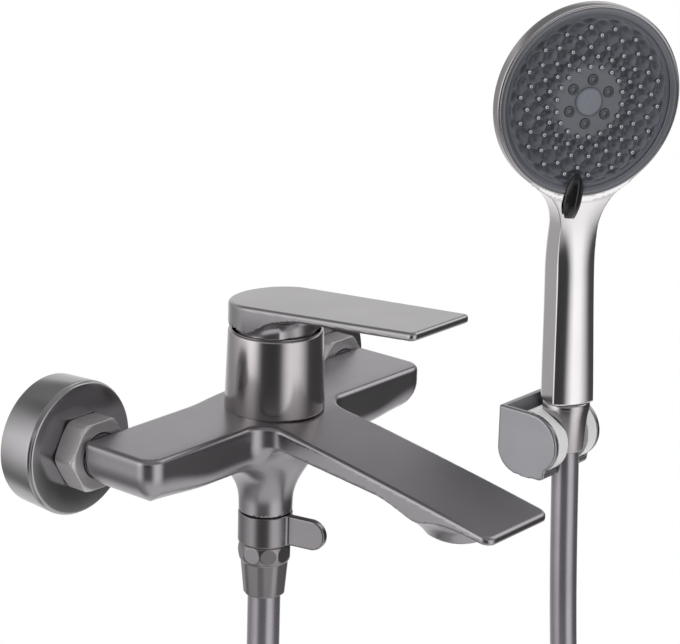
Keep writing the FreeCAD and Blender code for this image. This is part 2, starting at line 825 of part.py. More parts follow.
def aerator_parts():
    top = (0.0, outlet_y, aerator_top_z)
    seal_z = aerator_top_z - seal_thickness
    low = (0.0, outlet_y, outlet_bottom_z - aerator_drop)
    housing = ring(aerator_r, aerator_r - aerator_wall, (0.0, outlet_y, seal_z), low)
    seal = ring(aerator_r, outlet_bore_r, top, (0.0, outlet_y, seal_z))
    insert_low = (0.0, outlet_y, outlet_bottom_z)
    insert = cylinder(aerator_r - aerator_wall, (0.0, outlet_y, seal_z), insert_low)
    cells = []
    for row in range(1, aerator_ring_count + 1):
        pitch_r = row * aerator_ring_pitch
        spot = (pitch_r, outlet_y, outlet_bottom_z)
        cell = cylinder(aerator_cell_r, spot, (pitch_r, outlet_y, seal_z))
        cells += around(cell, (0.0, outlet_y, 0.0), (0, 0, 1), row * aerator_first_count)
    return {"aerator_housing": housing, "aerator_seal": seal, "aerator_insert": cut_by(insert, cells)}


def on_diverter(z):
    return (0.0, diverter_y, z)


def diverter_parts():
    nipple = fused([
        cylinder(nipple_shank_r, on_diverter(nipple_top_z), on_diverter(neck_bottom_z)),
        cylinder(nipple_r, on_diverter(neck_bottom_z), on_diverter(nipple_thread_top_z)),
        cylinder(thread_r, on_diverter(nipple_thread_top_z), on_diverter(nipple_bottom_z)),
    ])
    nipple = nipple.cut(cylinder(chamber_r, on_diverter(nipple_top_z), on_diverter(nipple_bottom_z)))
    slot_half = pin_r + pin_slip
    pin_angle = 90.0 + paddle_rest_deg
    play = math.degrees(slot_half / spool_r)
    slot = Part.makeCylinder(nipple_shank_r, 2.0 * slot_half, V(*on_diverter(pin_z - slot_half)), V(0, 0, 1),
                             diverter_turn_deg + 2.0 * play)
    slot = spun(slot, on_diverter(0.0), (0, 0, 1), pin_angle - diverter_turn_deg - play)
    nipple = nipple.cut(slot)
    collar = cylinder(collar_r, on_diverter(collar_top_z), on_diverter(collar_bottom_z))
    round_r = collar_height / 2.0 - slip_gap
    paddle = prism([
        (-paddle_thickness / 2.0, diverter_y, collar_top_z),
        (-paddle_thickness / 2.0, diverter_y - paddle_reach, collar_top_z, round_r),
        (-paddle_thickness / 2.0, diverter_y - paddle_reach, collar_bottom_z, round_r),
        (-paddle_thickness / 2.0, diverter_y, collar_bottom_z),
    ], (paddle_thickness, 0.0, 0.0))
    paddle = spun(paddle, on_diverter(0.0), (0, 0, 1), paddle_rest_deg)
    collar = fused([collar, paddle])
    bore = cylinder(nipple_r + pin_slip, on_diverter(collar_top_z), on_diverter(collar_bottom_z))
    collar = collar.cut(bore)
    pin_end_y = diverter_y + collar_r - slip_gap
    pin = cylinder(pin_r, (0.0, diverter_y + spool_bore_r, pin_z), (0.0, pin_end_y, pin_z))
    pin = spun(pin, on_diverter(0.0), (0, 0, 1), paddle_rest_deg)
    spool = ring(spool_r, spool_bore_r, on_diverter(spool_top_z), on_diverter(spool_bottom_z))
    window = block((-port_r, diverter_y - chamber_r, window_z - port_r),
                   (port_r, diverter_y, window_z + port_r))
    grooves = []
    rings = []
    for z in o_ring_levels:
        groove_low, groove_high = on_diverter(z - o_ring_r), on_diverter(z + o_ring_r)
        grooves.append(ring(spool_r, spool_r - 2.0 * o_ring_r, groove_low, groove_high))
        rings.append(Part.makeTorus(spool_r - o_ring_r, o_ring_r, V(*on_diverter(z)), V(0, 0, 1)))
    spool = cut_by(spool, [window, pin] + grooves)
    collar = collar.cut(pin)
    return {
        "outlet_nipple": nipple,
        "diverter_collar": collar,
        "diverter_pin": pin,
        "diverter_spool": spool,
        "diverter_o_rings": Part.makeCompound(rings),
    }


def hose_coupling(place, top_z, thread_length, nut_top_r, nut_foot_r, height, band, flutes):
    """Hose nut with its flat washer and the ferrule pressed into the hose, hanging below top_z."""
    seat_z = top_z - thread_length - thread_play
    flange_top_z = seat_z - hose_washer_thickness
    ledge_z = flange_top_z - ferrule_flange_thickness

    def at(z):
        return (place[0], place[1], z)

    foot_z = top_z - height
    nut = turned_up([
        (0.0, top_z),
        (nut_top_r, top_z),
        (nut_top_r, top_z - band),
        (nut_foot_r, foot_z),
        (0.0, foot_z),
    ], place[0], place[1])
    nut = cut_by(nut, [
        cylinder(thread_r + nut_slip, at(top_z), at(seat_z)),
        cylinder(hose_washer_r + nut_slip, at(top_z), at(ledge_z)),
        cylinder(hose_r + nut_slip, at(top_z), at(foot_z)),
    ])
    if flutes:
        flute_x = place[0] + nut_top_r + flute_r - flute_depth
        flute = cylinder(flute_r, (flute_x, place[1], top_z - flute_edge),
                         (flute_x, place[1], top_z - band + flute_edge))
        nut = cut_by(nut, around(flute, at(0.0), (0, 0, 1), flutes, full_turn / (2 * flutes)))
    washer = ring(hose_washer_r, ferrule_bore_r, at(seat_z), at(flange_top_z))
    ferrule = fused([
        cylinder(hose_washer_r, at(flange_top_z), at(ledge_z)),
        cylinder(ferrule_tail_r, at(ledge_z), at(ledge_z - ferrule_tail_length)),
    ])
    ferrule = ferrule.cut(cylinder(ferrule_bore_r, at(flange_top_z), at(ledge_z - ferrule_tail_length)))
    return nut, washer, ferrule, ledge_z


def leaned(shape):
    """Lean a piece of the held handset about the holder's pivot."""
    return spun(shape, holder_pivot, (1, 0, 0), -handset_lean_deg)


def hose_tube(points):
    """Tube along straight runs joined by tangent arcs, with its bore."""
    places = [V(*p) for p in points]
    runs = [(b - a).Length for a, b in zip(places, places[1:])]
    corners = [tuple(points[0])]
    radii = []
    for i in range(1, len(points) - 1):
        turn = (places[i] - places[i - 1]).getAngle(places[i + 1] - places[i])
        radius = arc_share * min(runs[i - 1], runs[i]) / math.tan(turn / 2.0)
        radii.append(radius)
        corners.append(tuple(points[i]) + (radius,))
    corners.append(tuple(points[-1]))
    path = outline(corners, closed=False)
    along = places[1] - places[0]
    tube = path.makePipe(Part.Face(Part.Wire(Part.makeCircle(hose_r, places[0], along))))
    bore = path.makePipe(Part.Face(Part.Wire(Part.makeCircle(hose_bore_r, places[0], along))))
    hose = tube.cut(bore)
    section = math.pi * (hose_r ** 2 - hose_bore_r ** 2)
    print("hose_lower length", round(path.Length, 1), "runs", [round(r) for r in runs])
    print("hose_lower radii", [round(r) for r in radii])
    print("hose_lower volume", round(hose.Volume, 1), "section times length", round(section * path.Length, 1))
    return hose


def bracket_parts():
    """Shell with two cheeks and two screw holes, and the swivelling holder between the cheeks."""
    x, y, z = holder_pivot
    low_x, high_x = x - bracket_half_width, x + bracket_half_width
    hook_z = z - bracket_hook_drop
    foot_z = z - bracket_foot_r
    cheeks = side_prism([
        (-face_gap, z + bracket_top),
        (-face_gap, foot_z, bracket_back_r),
        (y - bracket_hook_reach, foot_z, bracket_edge_r),
        (y - bracket_hook_reach, hook_z),
        (y, z),
        (y, z + bracket_top),
    ], low_x, high_x)
    cheeks = fused([cheeks, cylinder(cheek_r, (low_x, y, z), (high_x, y, z))])
    inner = bracket_half_width - bracket_wall
    back_y = -face_gap - bracket_back_wall
    holder_room_r = holder_r + slip_gap
    floor_z = foot_z + bracket_back_wall
    hollow = [
        side_prism([
            (back_y, z + 2.0 * bracket_top),
            (back_y, floor_z, bracket_back_r - bracket_back_wall),
            (y, floor_z),
            (y - bracket_foot_r, z),
            (y - bracket_foot_r, z + 2.0 * bracket_top),
        ], x - inner, x + inner),
        cylinder(holder_room_r, (x - inner, y, z), (x + inner, y, z)),
        block((x - inner, y - bracket_foot_r, hook_z), (x + inner, y, z)),
    ]
    shell = cut_by(cheeks, hollow)
    shell = shell.cut(block((x - slot_half_width, y - 2.0 * bracket_foot_r, 2.0 * foot_z),
                            (x + slot_half_width, y + hose_r, hook_z)))
    pin_reach = inner + holder_pin_length
    shell = shell.cut(cylinder(holder_pin_r + pin_slip, (x - pin_reach, y, z), (x + pin_reach, y, z)))
    level = z + screw_lift
    for side in (-1, 1):
        at_x = x + side * screw_spacing / 2.0
        shell = shell.cut(cylinder(screw_hole_r, (at_x, 0.0, level), (at_x, back_y, level)))
    width = inner - slip_gap
    holder = fused([
        cylinder(holder_r, (x - width, y, z), (x + width, y, z)),
        cylinder(holder_pin_r, (x - pin_reach + slip_gap, y, z), (x + pin_reach - slip_gap, y, z)),
    ])
    axis_y = y - handset_forward
    low_z, high_z = z - 2.0 * holder_r, z + 2.0 * holder_r
    seat_top_z = z + handle_bottom - nut_play
    seat_r = handset_nut_top_r + face_gap
    foot_r = hose_nut_foot_r + face_gap
    seat = turned_up([
        (0.0, high_z),
        (seat_r, high_z),
        (seat_r, seat_top_z - handset_nut_band),
        (foot_r, seat_top_z - handset_nut_height),
        (foot_r, low_z),
        (0.0, low_z),
    ], x, axis_y)
    slot = block((x - slot_half_width, y - 2.0 * holder_r, low_z), (x + slot_half_width, axis_y, high_z))
    holder = cut_by(holder, [seat, slot])
    return {
        "bracket_shell": shell,
        "bracket_holder": leaned(holder),
    }


def handset_frame(shape):
    """Put a piece drawn about the handle's own axis, facing -Y, into the leaning holder."""
    shape = spun(shape, (0, 0, 0), (0, 0, 1), -face_turn_deg)
    x, y, z = holder_pivot
    return leaned(moved(shape, (x, y - handset_forward, z)))


def head_frame(shape):
    """Put a piece drawn about the face's centre, facing -Y, onto the handle."""
    shape = spun(shape, (0, 0, 0), (1, 0, 0), face_down_deg)
    return handset_frame(moved(shape, (0.0, head_front, head_centre)))


def face_turned(shape):
    """Turn a piece of the spray face to the setting that the handset rests at."""
    return head_frame(spun(shape, (0, 0, 0), (0, 1, 0), spray_rest_deg))


def faced(profile):
    """Turn (radius, height in front of the face plane) points about the face's axis."""
    return turned(profile, (0, 0, 0), (0, -1, 0), (1, 0, 0))


def tilted_head(shape):
    """Place a piece drawn about the face's centre into the handle's own frame."""
    return moved(spun(shape, (0, 0, 0), (1, 0, 0), face_down_deg), (0.0, head_front, head_centre))


def face_opening():
    return faced([
        (0.0, face_ring_rise + face_recess),
        (face_r + slip_gap, face_ring_rise + face_recess),
        (face_r + slip_gap, -head_side),
        (head_r * dome_share, handset_wall - head_depth),
        (0.0, handset_wall - head_depth),
    ])


def handset_shell():
    head = faced([
        (0.0, 0.0),
        (head_r, 0.0, head_edge_r),
        (head_r, -head_side, head_side_r),
        (head_r * dome_share, -head_depth, dome_r * dome_share),
        (0.0, -head_depth),
    ])
    shell = handle().fuse(tilted_head(head))
    groove = faced([
        (face_r, -face_ring_depth),
        (face_ring_r, -face_ring_depth),
        (face_ring_r, face_ring_rise),
        (face_r, face_ring_rise),
    ])
    flange_top = (0, 0, handle_bottom + stub_flange_thickness)
    return cut_by(shell, [
        tilted_head(face_opening()),
        tilted_head(groove),
        cylinder(stub_r, (0, 0, handle_bottom), flange_top),
        channel_pipe(waterway_r + channel_gap),
    ])


def crowned_outline(half_width, front, back, crown, corner_r, z):
    """Section with a crowned front, two flat sides and rounded back corners."""
    side_y = front + crown
    left, right = V(-half_width, side_y, z), V(half_width, side_y, z)
    low = outline([
        (half_width, side_y, z),
        (half_width, back, z, corner_r),
        (-half_width, back, z, corner_r),
        (-half_width, side_y, z),
    ], closed=False)
    return Part.Wire([Part.Arc(left, V(0.0, front, z), right).toShape()] + low.Edges)


def handle():
    """Grip that narrows upward, then a neck that widens and moves forward into the head."""
    foot = crowned_outline(handle_foot_half_width, -handle_half_depth, handle_half_depth, handle_crown,
                           handle_corner_r, handle_bottom)
    start = crowned_outline(handle_half_width, -handle_half_depth, handle_half_depth, handle_crown,
                            handle_corner_r, neck_start)
    grip = Part.makeLoft([foot, start], True, True)
    levels = ((0.0, 0.0, 0.0, 0.0, 0.0),) + neck_levels
    top_rise = neck_levels[-1][0]
    wires = []
    for rise, more_width, more_depth, centre_y, more_corner in levels:
        half_depth = handle_half_depth + more_depth
        front, back = centre_y - half_depth, centre_y + half_depth
        crown = handle_crown + (neck_crown - handle_crown) * rise / top_rise
        wires.append(crowned_outline(handle_half_width + more_width, front, back, crown,
                                     handle_corner_r + more_corner, neck_start + rise))
    return grip.fuse(Part.makeLoft(wires, True, False))


def channel_pipe(radius):
    """Rod along the waterway, from the inlet stub to the foot of the valve housing."""
    tilt = math.radians(face_down_deg)
    y, z = -valve_inlet_h, -(valve_housing_r + waterway_end_gap)
    end = (0.0, head_front + y * math.cos(tilt) - z * math.sin(tilt),
           head_centre + y * math.sin(tilt) + z * math.cos(tilt))
    low = (0.0, 0.0, handle_bottom + stub_flange_thickness)
    path = outline([
        low,
        (0.0, 0.0, channel_bend_z, channel_bend_r),
        (0.0, channel_neck_y, channel_neck_z, channel_bend_r),
        end,
    ], closed=False)
    return path.makePipe(Part.Face(Part.Wire(Part.makeCircle(radius, V(*low), V(0, 0, 1)))))


def waterway_parts():
    """Inner tube from the inlet stub into the head, the stub with its thread and the flow washer."""
    low_z = handle_bottom + stub_flange_thickness
    bore_r = waterway_r - waterway_wall
    stub_top_z = handle_bottom - nut_play
    stub_low_z = stub_top_z - thread_length
    stub = fused([
        cylinder(stub_r - slip_gap, (0, 0, stub_top_z), (0, 0, low_z)),
        cylinder(thread_r, (0, 0, stub_top_z), (0, 0, stub_low_z)),
    ])
    stub = stub.cut(cylinder(bore_r, (0, 0, stub_low_z), (0, 0, low_z)))
    stub = stub.cut(cylinder(waterway_r, (0, 0, stub_low_z), (0, 0, stub_low_z + flow_thickness)))
    flow = ring(waterway_r, flow_hole_r, (0, 0, stub_low_z), (0, 0, stub_low_z + flow_thickness))
    return {
        "handset_waterway": handset_frame(channel_pipe(waterway_r).cut(channel_pipe(bore_r))),
        "handset_inlet": handset_frame(stub),
        "flow_washer": handset_frame(flow),
    }


def ring_spots(radius, count, start):
    spots = []
    for i in range(count):
        a = math.radians(start + full_turn * i / count)
        spots.append((radius * math.cos(a), radius * math.sin(a)))
    return spots


def nozzle_spots():
    spots = []
    for row, radius in enumerate(nozzle_rings):
        spots += ring_spots(radius, nozzles_per_ring, full_turn / (2 * nozzles_per_ring) * (row % 2))
    return spots


def face_cylinders(spots, radius, low_h, high_h):
    return [cylinder(radius, (x, -low_h, z), (x, -high_h, z)) for x, z in spots]


def face_disc(radius, low_h, high_h):
    return cylinder(radius, (0, -low_h, 0), (0, -high_h, 0))


def selector_tab():
    """Almond-shaped grip over the lip of the head, standing on a foot on the spray plate."""
    arc_r = (tab_half_length ** 2 + tab_half_width ** 2) / (2.0 * tab_half_width)
    offset = arc_r - tab_half_width
    low_h = face_ring_rise + face_gap
    centres = [(-offset, -tab_centre_r), (offset, -tab_centre_r)]
    left, right = face_cylinders(centres, arc_r, low_h, tab_height)
    foot_place = (0.0, -(face_r - face_edge_r - tab_foot_r))
    foot = face_cylinders([foot_place], tab_foot_r, plate_front_h, tab_height)
    return fused([left.common(right)] + foot)


def spray_parts():
    """Turning spray plate with its nozzle mat, jets, cap, tab and distributor."""
    jets = ring_spots(jet_ring_r, jet_count, 90.0)
    plate = faced([
        (0.0, plate_back_h),
        (face_r, plate_back_h),
        (face_r, plate_front_h, face_edge_r),
        (0.0, plate_front_h),
    ])
    holes = face_cylinders(nozzle_spots(), nozzle_r + pin_slip, plate_back_h, plate_front_h)
    jet_holes = face_cylinders(jets, jet_r, mat_back_h, plate_front_h)
    plate = plate.cut(Part.makeCompound(holes + jet_holes))
    plate = plate.cut(face_disc(cap_r, plate_front_h - cap_depth, plate_front_h))
    mat = face_disc(face_r - slip_gap, mat_back_h, plate_back_h)
    pins = face_cylinders(nozzle_spots(), nozzle_r, mat_back_h, plate_front_h + nozzle_height)
    mat = mat.multiFuse(pins).cut(Part.makeCompound(jet_holes))
    rims = face_cylinders(jets, jet_r, mat_back_h, plate_front_h + jet_height)
    bores = face_cylinders(jets, jet_hole_r, mat_back_h, plate_front_h + jet_height)
    cap_top = plate_front_h + cap_height
    cap = faced([
        (0.0, plate_front_h - cap_depth),
        (cap_r, plate_front_h - cap_depth),
        (cap_r, cap_top, cap_height),
        (0.0, cap_top),
    ])
    distributor = face_disc(distributor_r, distributor_back_h, mat_back_h)
    ports = face_cylinders(ring_spots(valve_port_ring_r, jet_count, 90.0), port_r / 2.0,
                           distributor_back_h, mat_back_h)
    parts = {
        "spray_plate": plate,
        "nozzle_mat": mat,
        "jet_nozzles": Part.makeCompound([r.cut(b) for r, b in zip(rims, bores)]),
        "centre_cap": cap,
        "selector_tab": selector_tab(),
        "spray_distributor": cut_by(distributor, ports),
    }
    return {name: face_turned(shape) for name, shape in parts.items()}


def head_inside():
    """Lip ring and the fixed valve behind the turning plate."""
    lip = faced([
        (face_r + slip_gap, -face_ring_depth),
        (face_ring_r, -face_ring_depth),
        (face_ring_r, face_ring_rise, face_ring_rise),
        (face_r + slip_gap, face_ring_rise),
    ])
    seal = face_disc(valve_seal_r, valve_front_h, seal_front_h)
    seal = seal.cut(face_disc(valve_seal_inner_r, valve_front_h, seal_front_h))
    disc = face_disc(valve_seal_r, valve_back_h, valve_front_h)
    disc = cut_by(disc, face_cylinders(ring_spots(valve_port_ring_r, 3, 90.0), port_r,
                                       valve_back_h, valve_front_h))
    housing_back_h = handset_wall - head_depth
    housing = face_disc(valve_housing_r, housing_back_h, valve_back_h)
    housing = housing.cut(face_disc(valve_housing_r - valve_housing_wall, housing_back_h + valve_housing_wall,
                                    valve_back_h))
    inlet = cylinder(port_r, (0, -valve_inlet_h, -valve_housing_r), (0, -valve_inlet_h, 0))
    parts = {
        "face_ring": lip,
        "valve_seal": seal,
        "valve_disc": disc,
        "valve_housing": housing.cut(inlet),
    }
    return {name: head_frame(shape) for name, shape in parts.items()}


def hoses():
    """Coupling at each end of the hose and the two lengths of hose between them."""
    parts = {}
    nut, washer, ferrule, mixer_ledge_z = hose_coupling(
        (0.0, diverter_y), nipple_thread_top_z, nipple_thread_length, hose_nut_r, hose_nut_foot_r,
        hose_nut_height, hose_nut_band, hose_nut_flutes)
    parts["mixer_hose_nut"] = nut
    parts["mixer_hose_washer"] = washer
    parts["mixer_hose_ferrule"] = ferrule
    x, y, z = holder_pivot
    axis = (x, y - handset_forward)
    top_z = z + handle_bottom - nut_play
    nut, washer, ferrule, ledge_z = hose_coupling(
        axis, top_z, thread_length, handset_nut_top_r, handset_nut_foot_r,
        handset_nut_height, handset_nut_band, 0)
    parts["handset_hose_nut"] = leaned(nut)
    parts["handset_hose_washer"] = leaned(washer)
    parts["handset_hose_ferrule"] = leaned(ferrule)
    end_z = z - hose_section_drop
    upper = ring(hose_r, hose_bore_r, (axis[0], axis[1], end_z), (axis[0], axis[1], ledge_z))
    parts["hose_upper"] = leaned(upper)
    lean = math.radians(-handset_lean_deg)
    ends = []
    for drop in (hose_section_drop + hose_last_run, hose_section_drop):
        ends.append((x, y - handset_forward * math.cos(lean) + drop * math.sin(lean),
                     z - handset_forward * math.sin(lean) - drop * math.cos(lean)))
    start = ((0.0, diverter_y, mixer_ledge_z),)
    parts["hose_lower"] = hose_tube(start + hose_route + tuple(ends))
    print("hose_upper length", round(ledge_z - end_z, 1))
    return parts


def pair(make):
    """Left and right copies of what one side's function makes."""
    return list(zip(make(-1), make(1)))


def main():
    os.makedirs("parts", exist_ok=True)
    unions, escutcheons, seals = pair(union_and_escutcheon)
    nuts, washers, spigots = pair(inlet_fitting)
    for index, side in enumerate(("left", "right")):
        save("wall_union_" + side, unions[index])
        save("escutcheon_" + side, escutcheons[index])
        save("union_nut_" + side, nuts[index])
        save("inlet_spigot_" + side, spigots[index])
    save("escutcheon_seals", Part.makeCompound(seals))
    save("filter_washers", Part.makeCompound(washers))
    save("mixer_body", mixer_body())
    save("housing_sleeve", housing_sleeve())
    save("handset_shell", handset_frame(handset_shell()))
    groups = (cartridge_parts, lever_parts, aerator_parts, diverter_parts, bracket_parts,
              waterway_parts, spray_parts, head_inside, hoses)
    for group in groups:
        for name, shape in group().items():
            save(name, shape)


main()
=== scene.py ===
"""The wall bath mixer set in a plain studio: metres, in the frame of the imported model."""
import math

import bmesh
import bpy
import numpy as np
from mathutils import Matrix, Vector


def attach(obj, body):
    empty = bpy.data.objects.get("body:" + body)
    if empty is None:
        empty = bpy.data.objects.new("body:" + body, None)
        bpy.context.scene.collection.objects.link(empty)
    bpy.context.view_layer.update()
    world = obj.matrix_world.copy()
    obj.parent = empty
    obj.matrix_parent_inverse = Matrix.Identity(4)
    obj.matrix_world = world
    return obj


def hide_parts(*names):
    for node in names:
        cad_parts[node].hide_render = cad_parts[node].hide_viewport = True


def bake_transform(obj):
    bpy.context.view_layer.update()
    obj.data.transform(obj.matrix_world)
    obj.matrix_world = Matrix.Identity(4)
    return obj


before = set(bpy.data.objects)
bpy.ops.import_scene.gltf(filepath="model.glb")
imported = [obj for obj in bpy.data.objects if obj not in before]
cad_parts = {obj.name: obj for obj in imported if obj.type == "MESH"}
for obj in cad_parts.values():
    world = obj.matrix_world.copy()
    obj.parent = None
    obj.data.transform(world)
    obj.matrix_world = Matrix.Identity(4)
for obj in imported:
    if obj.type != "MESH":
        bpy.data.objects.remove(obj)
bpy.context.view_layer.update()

MM = 0.001
RISE = 6.0

# Millimetres about the mixer's inlet axis, and degrees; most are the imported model's sizes
ARM_END = 85.5
ARM_BACK, ARM_FRONT = -30.1, -67.1
BODY_TOP, BODY_BOTTOM = 8.8, -12.0
SPOUT_TIP, SPOUT_HALF, SPOUT_BREAK, SPOUT_SLOPE = -181.0, 20.0, -68.0, 0.166
CARTRIDGE_Y, DIVERTER_Y, OUTLET_Y = -55.0, -51.0, -152.0
HOSE_R = 7.0
SPRAY_TURN = 7.5
LEVER_TOP, LEVER_SLOPE, LEVER_TIP, LEVER_PIVOT = 55.2, 0.085, -140.0, 34.0
COLLAR_TOP, COLLAR_HEIGHT, COLLAR_R = -38.8, 13.4, 11.5
HOSE_NUT_TOP = -52.5
HEAD_R, PLATE_R, RING_R, BEZEL_R = 48.5, 43.9, 46.4, 47.1
NOZZLE_RINGS, NOZZLES_PER_RING = (17.6, 22.6, 27.4, 33.0, 37.0), 18
HALF_SPACING = 180.0 / NOZZLES_PER_RING
PIVOT = (256.6, -20.5, -80.5)
FORWARD, LEAN, FACE_TURN, FACE_DOWN = 8.0, 2.4, 30.0, 5.5
HEAD_CENTRE, HEAD_FRONT = 176.3, -20.0
NECK_FLOOR, OUTLET_FLOOR = -38.5, -20.5
INLET_X = 75.0


def added(name, data):
    obj = bpy.data.objects.new(name, data)
    bpy.context.scene.collection.objects.link(obj)
    return obj


def camera():
    """The photograph's view: 17 degrees above the mixer, from its left front."""
    data = bpy.data.cameras.new("camera")
    data.sensor_width = 36.0
    data.lens = 127.06
    data.clip_start = 0.05
    data.clip_end = 40.0
    right = Vector((0.64139, -0.76681, 0.02499))
    up = Vector((0.21330, 0.20951, 0.95426))
    back = Vector((-0.73697, -0.60672, 0.29794))
    shown = added("camera", data)
    place = Matrix((right, up, back)).transposed().to_4x4()
    place.translation = Vector((-706.05, -670.13, 337.37 + RISE)) * MM
    shown.matrix_world = place
    bpy.context.scene.camera = shown


camera()

# Materials


def nodes_of(name):
    material = bpy.data.materials.new(name)
    material.use_nodes = True
    tree = material.node_tree
    return material, tree, tree.nodes["Principled BSDF"]


def texture(tree, scale, detail, stretch=(1.0, 1.0, 1.0), roughness=0.5):
    """Noise in the piece's own metres, stretched along its grain."""
    where = tree.nodes.new("ShaderNodeTexCoord")
    mapped = tree.nodes.new("ShaderNodeMapping")
    mapped.inputs["Scale"].default_value = stretch
    tree.links.new(where.outputs["Object"], mapped.inputs["Vector"])
    noise = tree.nodes.new("ShaderNodeTexNoise")
    noise.inputs["Scale"].default_value = scale
    noise.inputs["Detail"].default_value = detail
    noise.inputs["Roughness"].default_value = roughness
    tree.links.new(mapped.outputs["Vector"], noise.inputs["Vector"])
    return noise.outputs["Fac"]


NOISE_LOW, NOISE_HIGH = 0.3, 0.7


def spread(tree, value, low, high):
    """The noise's usual range stretched over the given one."""
    node = tree.nodes.new("ShaderNodeMapRange")
    node.inputs["From Min"].default_value = NOISE_LOW
    node.inputs["From Max"].default_value = NOISE_HIGH
    node.inputs["To Min"].default_value = low
    node.inputs["To Max"].default_value = high
    tree.links.new(value, node.inputs["Value"])
    return node.outputs["Result"]


def shaded(tree, value, dark, light):
    node = tree.nodes.new("ShaderNodeValToRGB")
    first, last = node.color_ramp.elements
    first.position = NOISE_LOW
    first.color = (*dark, 1.0)
    last.position = NOISE_HIGH
    last.color = (*light, 1.0)
    tree.links.new(value, node.inputs["Fac"])
    return node.outputs["Color"]


def bumped(tree, shader, value, strength, distance):
    bump = tree.nodes.new("ShaderNodeBump")
    bump.inputs["Strength"].default_value = strength
    bump.inputs["Distance"].default_value = distance
    tree.links.new(value, bump.inputs["Height"])
    tree.links.new(bump.outputs["Normal"], shader.inputs["Normal"])


def finish(name, colour, rough, metal=1.0, change=0.06, grain=(1.0, 1.0, 1.0), grain_scale=900.0, bump=0.15,
           rough_change=0.06):
    """Surface whose colour clouds slowly and whose roughness and bump follow a fine grain."""
    cloud_scale, cloud_detail, grain_detail, grain_roughness = 34.0, 3.0, 5.0, 0.6
    grain_height, least_rough = 0.00004, 0.02
    material, tree, shader = nodes_of(name)
    shader.inputs["Metallic"].default_value = metal
    clouds = texture(tree, cloud_scale, cloud_detail)
    dark = tuple(c * (1.0 - change) for c in colour)
    light = tuple(min(1.0, c * (1.0 + change)) for c in colour)
    tree.links.new(shaded(tree, clouds, dark, light), shader.inputs["Base Color"])
    fine = texture(tree, grain_scale, grain_detail, grain, grain_roughness)
    low, high = max(least_rough, rough - rough_change), rough + rough_change
    tree.links.new(spread(tree, fine, low, high), shader.inputs["Roughness"])
    bumped(tree, shader, fine, bump, grain_height)
    return material


LOOKS = {
    "body": finish("body_gunmetal", (0.315, 0.300, 0.315), 0.29, grain_scale=3600.0, bump=0.004,
                   rough_change=0.01),
    "nut": finish("nut_gunmetal", (0.50, 0.485, 0.495), 0.30, metal=0.55, grain_scale=3000.0, bump=0.004,
                  rough_change=0.01),
    "turned": finish("turned_gunmetal", (0.42, 0.395, 0.40), 0.21, grain=(0.02, 0.02, 1.0),
                     grain_scale=2600.0, bump=0.012, rough_change=0.012),
    "collar": finish("collar_gunmetal", (0.235, 0.222, 0.232), 0.28, grain_scale=800.0, bump=0.002,
                     rough_change=0.005),
    "turned_y": finish("turned_about_y", (0.36, 0.35, 0.36), 0.22, grain=(0.02, 1.0, 0.02),
                       grain_scale=2600.0, bump=0.04, rough_change=0.03),
    "lever": finish("lever_gunmetal", (0.36, 0.348, 0.358), 0.26, grain=(1.0, 0.03, 1.0), grain_scale=2600.0,
                    bump=0.003, rough_change=0.008),
    "handset": finish("handset_gunmetal", (0.62, 0.60, 0.61), 0.16, grain=(1.0, 1.0, 0.03),
                      grain_scale=2600.0, change=0.03, bump=0.02, rough_change=0.02),
    "bezel": finish("bezel_gunmetal", (0.40, 0.385, 0.395), 0.20, grain_scale=3000.0, change=0.03, bump=0.01,
                    rough_change=0.02),
    "bracket": finish("bracket_gunmetal", (0.30, 0.295, 0.315), 0.31, grain_scale=3000.0, bump=0.012,
                      rough_change=0.02),
    "brass": finish("plain_brass", (0.70, 0.50, 0.22), 0.3),
    "steel": finish("steel", (0.55, 0.55, 0.56), 0.28, grain=(1.0, 0.05, 1.0)),
    "ceramic": finish("ceramic", (0.80, 0.79, 0.76), 0.25, metal=0.0),
    "rubber": finish("rubber", (0.03, 0.03, 0.032), 0.65, metal=0.0, change=0.2),
    "silicone": finish("silicone", (0.42, 0.43, 0.46), 0.34, metal=0.0, bump=0.03),
    "white": finish("white_plastic", (0.90, 0.90, 0.90), 0.40, metal=0.0, change=0.02, grain=(0.1, 1.0, 1.0),
                    grain_scale=1400.0, bump=0.12),
    "plate": finish("spray_plate", (0.088, 0.094, 0.112), 0.36, metal=0.0, change=0.08, grain_scale=1500.0,
                    bump=0.08),
    "plate_rim": finish("plate_rim", (0.120, 0.126, 0.142), 0.32, metal=0.3, change=0.05, grain_scale=2000.0,
                        bump=0.04),
    # Dark plastic; also painted shade inside the nozzle holes and on the jets' inner rings
    "dark": finish("dark_plastic", (0.030, 0.032, 0.037), 0.35, metal=0.0, change=0.15),
    "black": finish("black_gloss", (0.006, 0.006, 0.007), 0.08, metal=0.0, change=0.2, bump=0.02,
                    rough_change=0.03),
    "jet": finish("jet_grey", (0.085, 0.09, 0.105), 0.3, metal=0.0, bump=0.03),
    # Near-black painted shade: the shadow ring round each centre jet and the jet's hole
    "painted_jet_shade": finish("painted_shade_black", (0.003, 0.003, 0.003), 0.5, metal=0.0, bump=0.02),
    "cap": finish("centre_satin", (0.130, 0.139, 0.162), 0.30, metal=0.1, grain_scale=1400.0, bump=0.06),
    "hose": finish("hose_skin", (0.335, 0.315, 0.345), 0.25, metal=0.75, grain=(1.0, 1.0, 0.05),
                   grain_scale=2200.0, bump=0.03, rough_change=0.02),
}
SLOT_LOOKS = {
    "gunmetal_brass": "body",
    "plain_brass": "brass",
    "steel": "steel",
    "ceramic": "ceramic",
    "rubber": "rubber",
    "silicone_nozzles": "silicone",
    "white_plastic": "white",
    "grey_plastic": "plate",
    "gunmetal_plastic": "handset",
    "dark_plastic": "plate",
    "gloss_black_plastic": "black",
    "hose_pvc": "hose",
}


# Distance fields, in millimetres: negative inside


def joined(a, b, radius):
    """Union with a concave round of the given radius."""
    u, v = np.maximum(radius - a, 0.0), np.maximum(radius - b, 0.0)
    return np.maximum(radius, np.minimum(a, b)) - np.hypot(u, v)


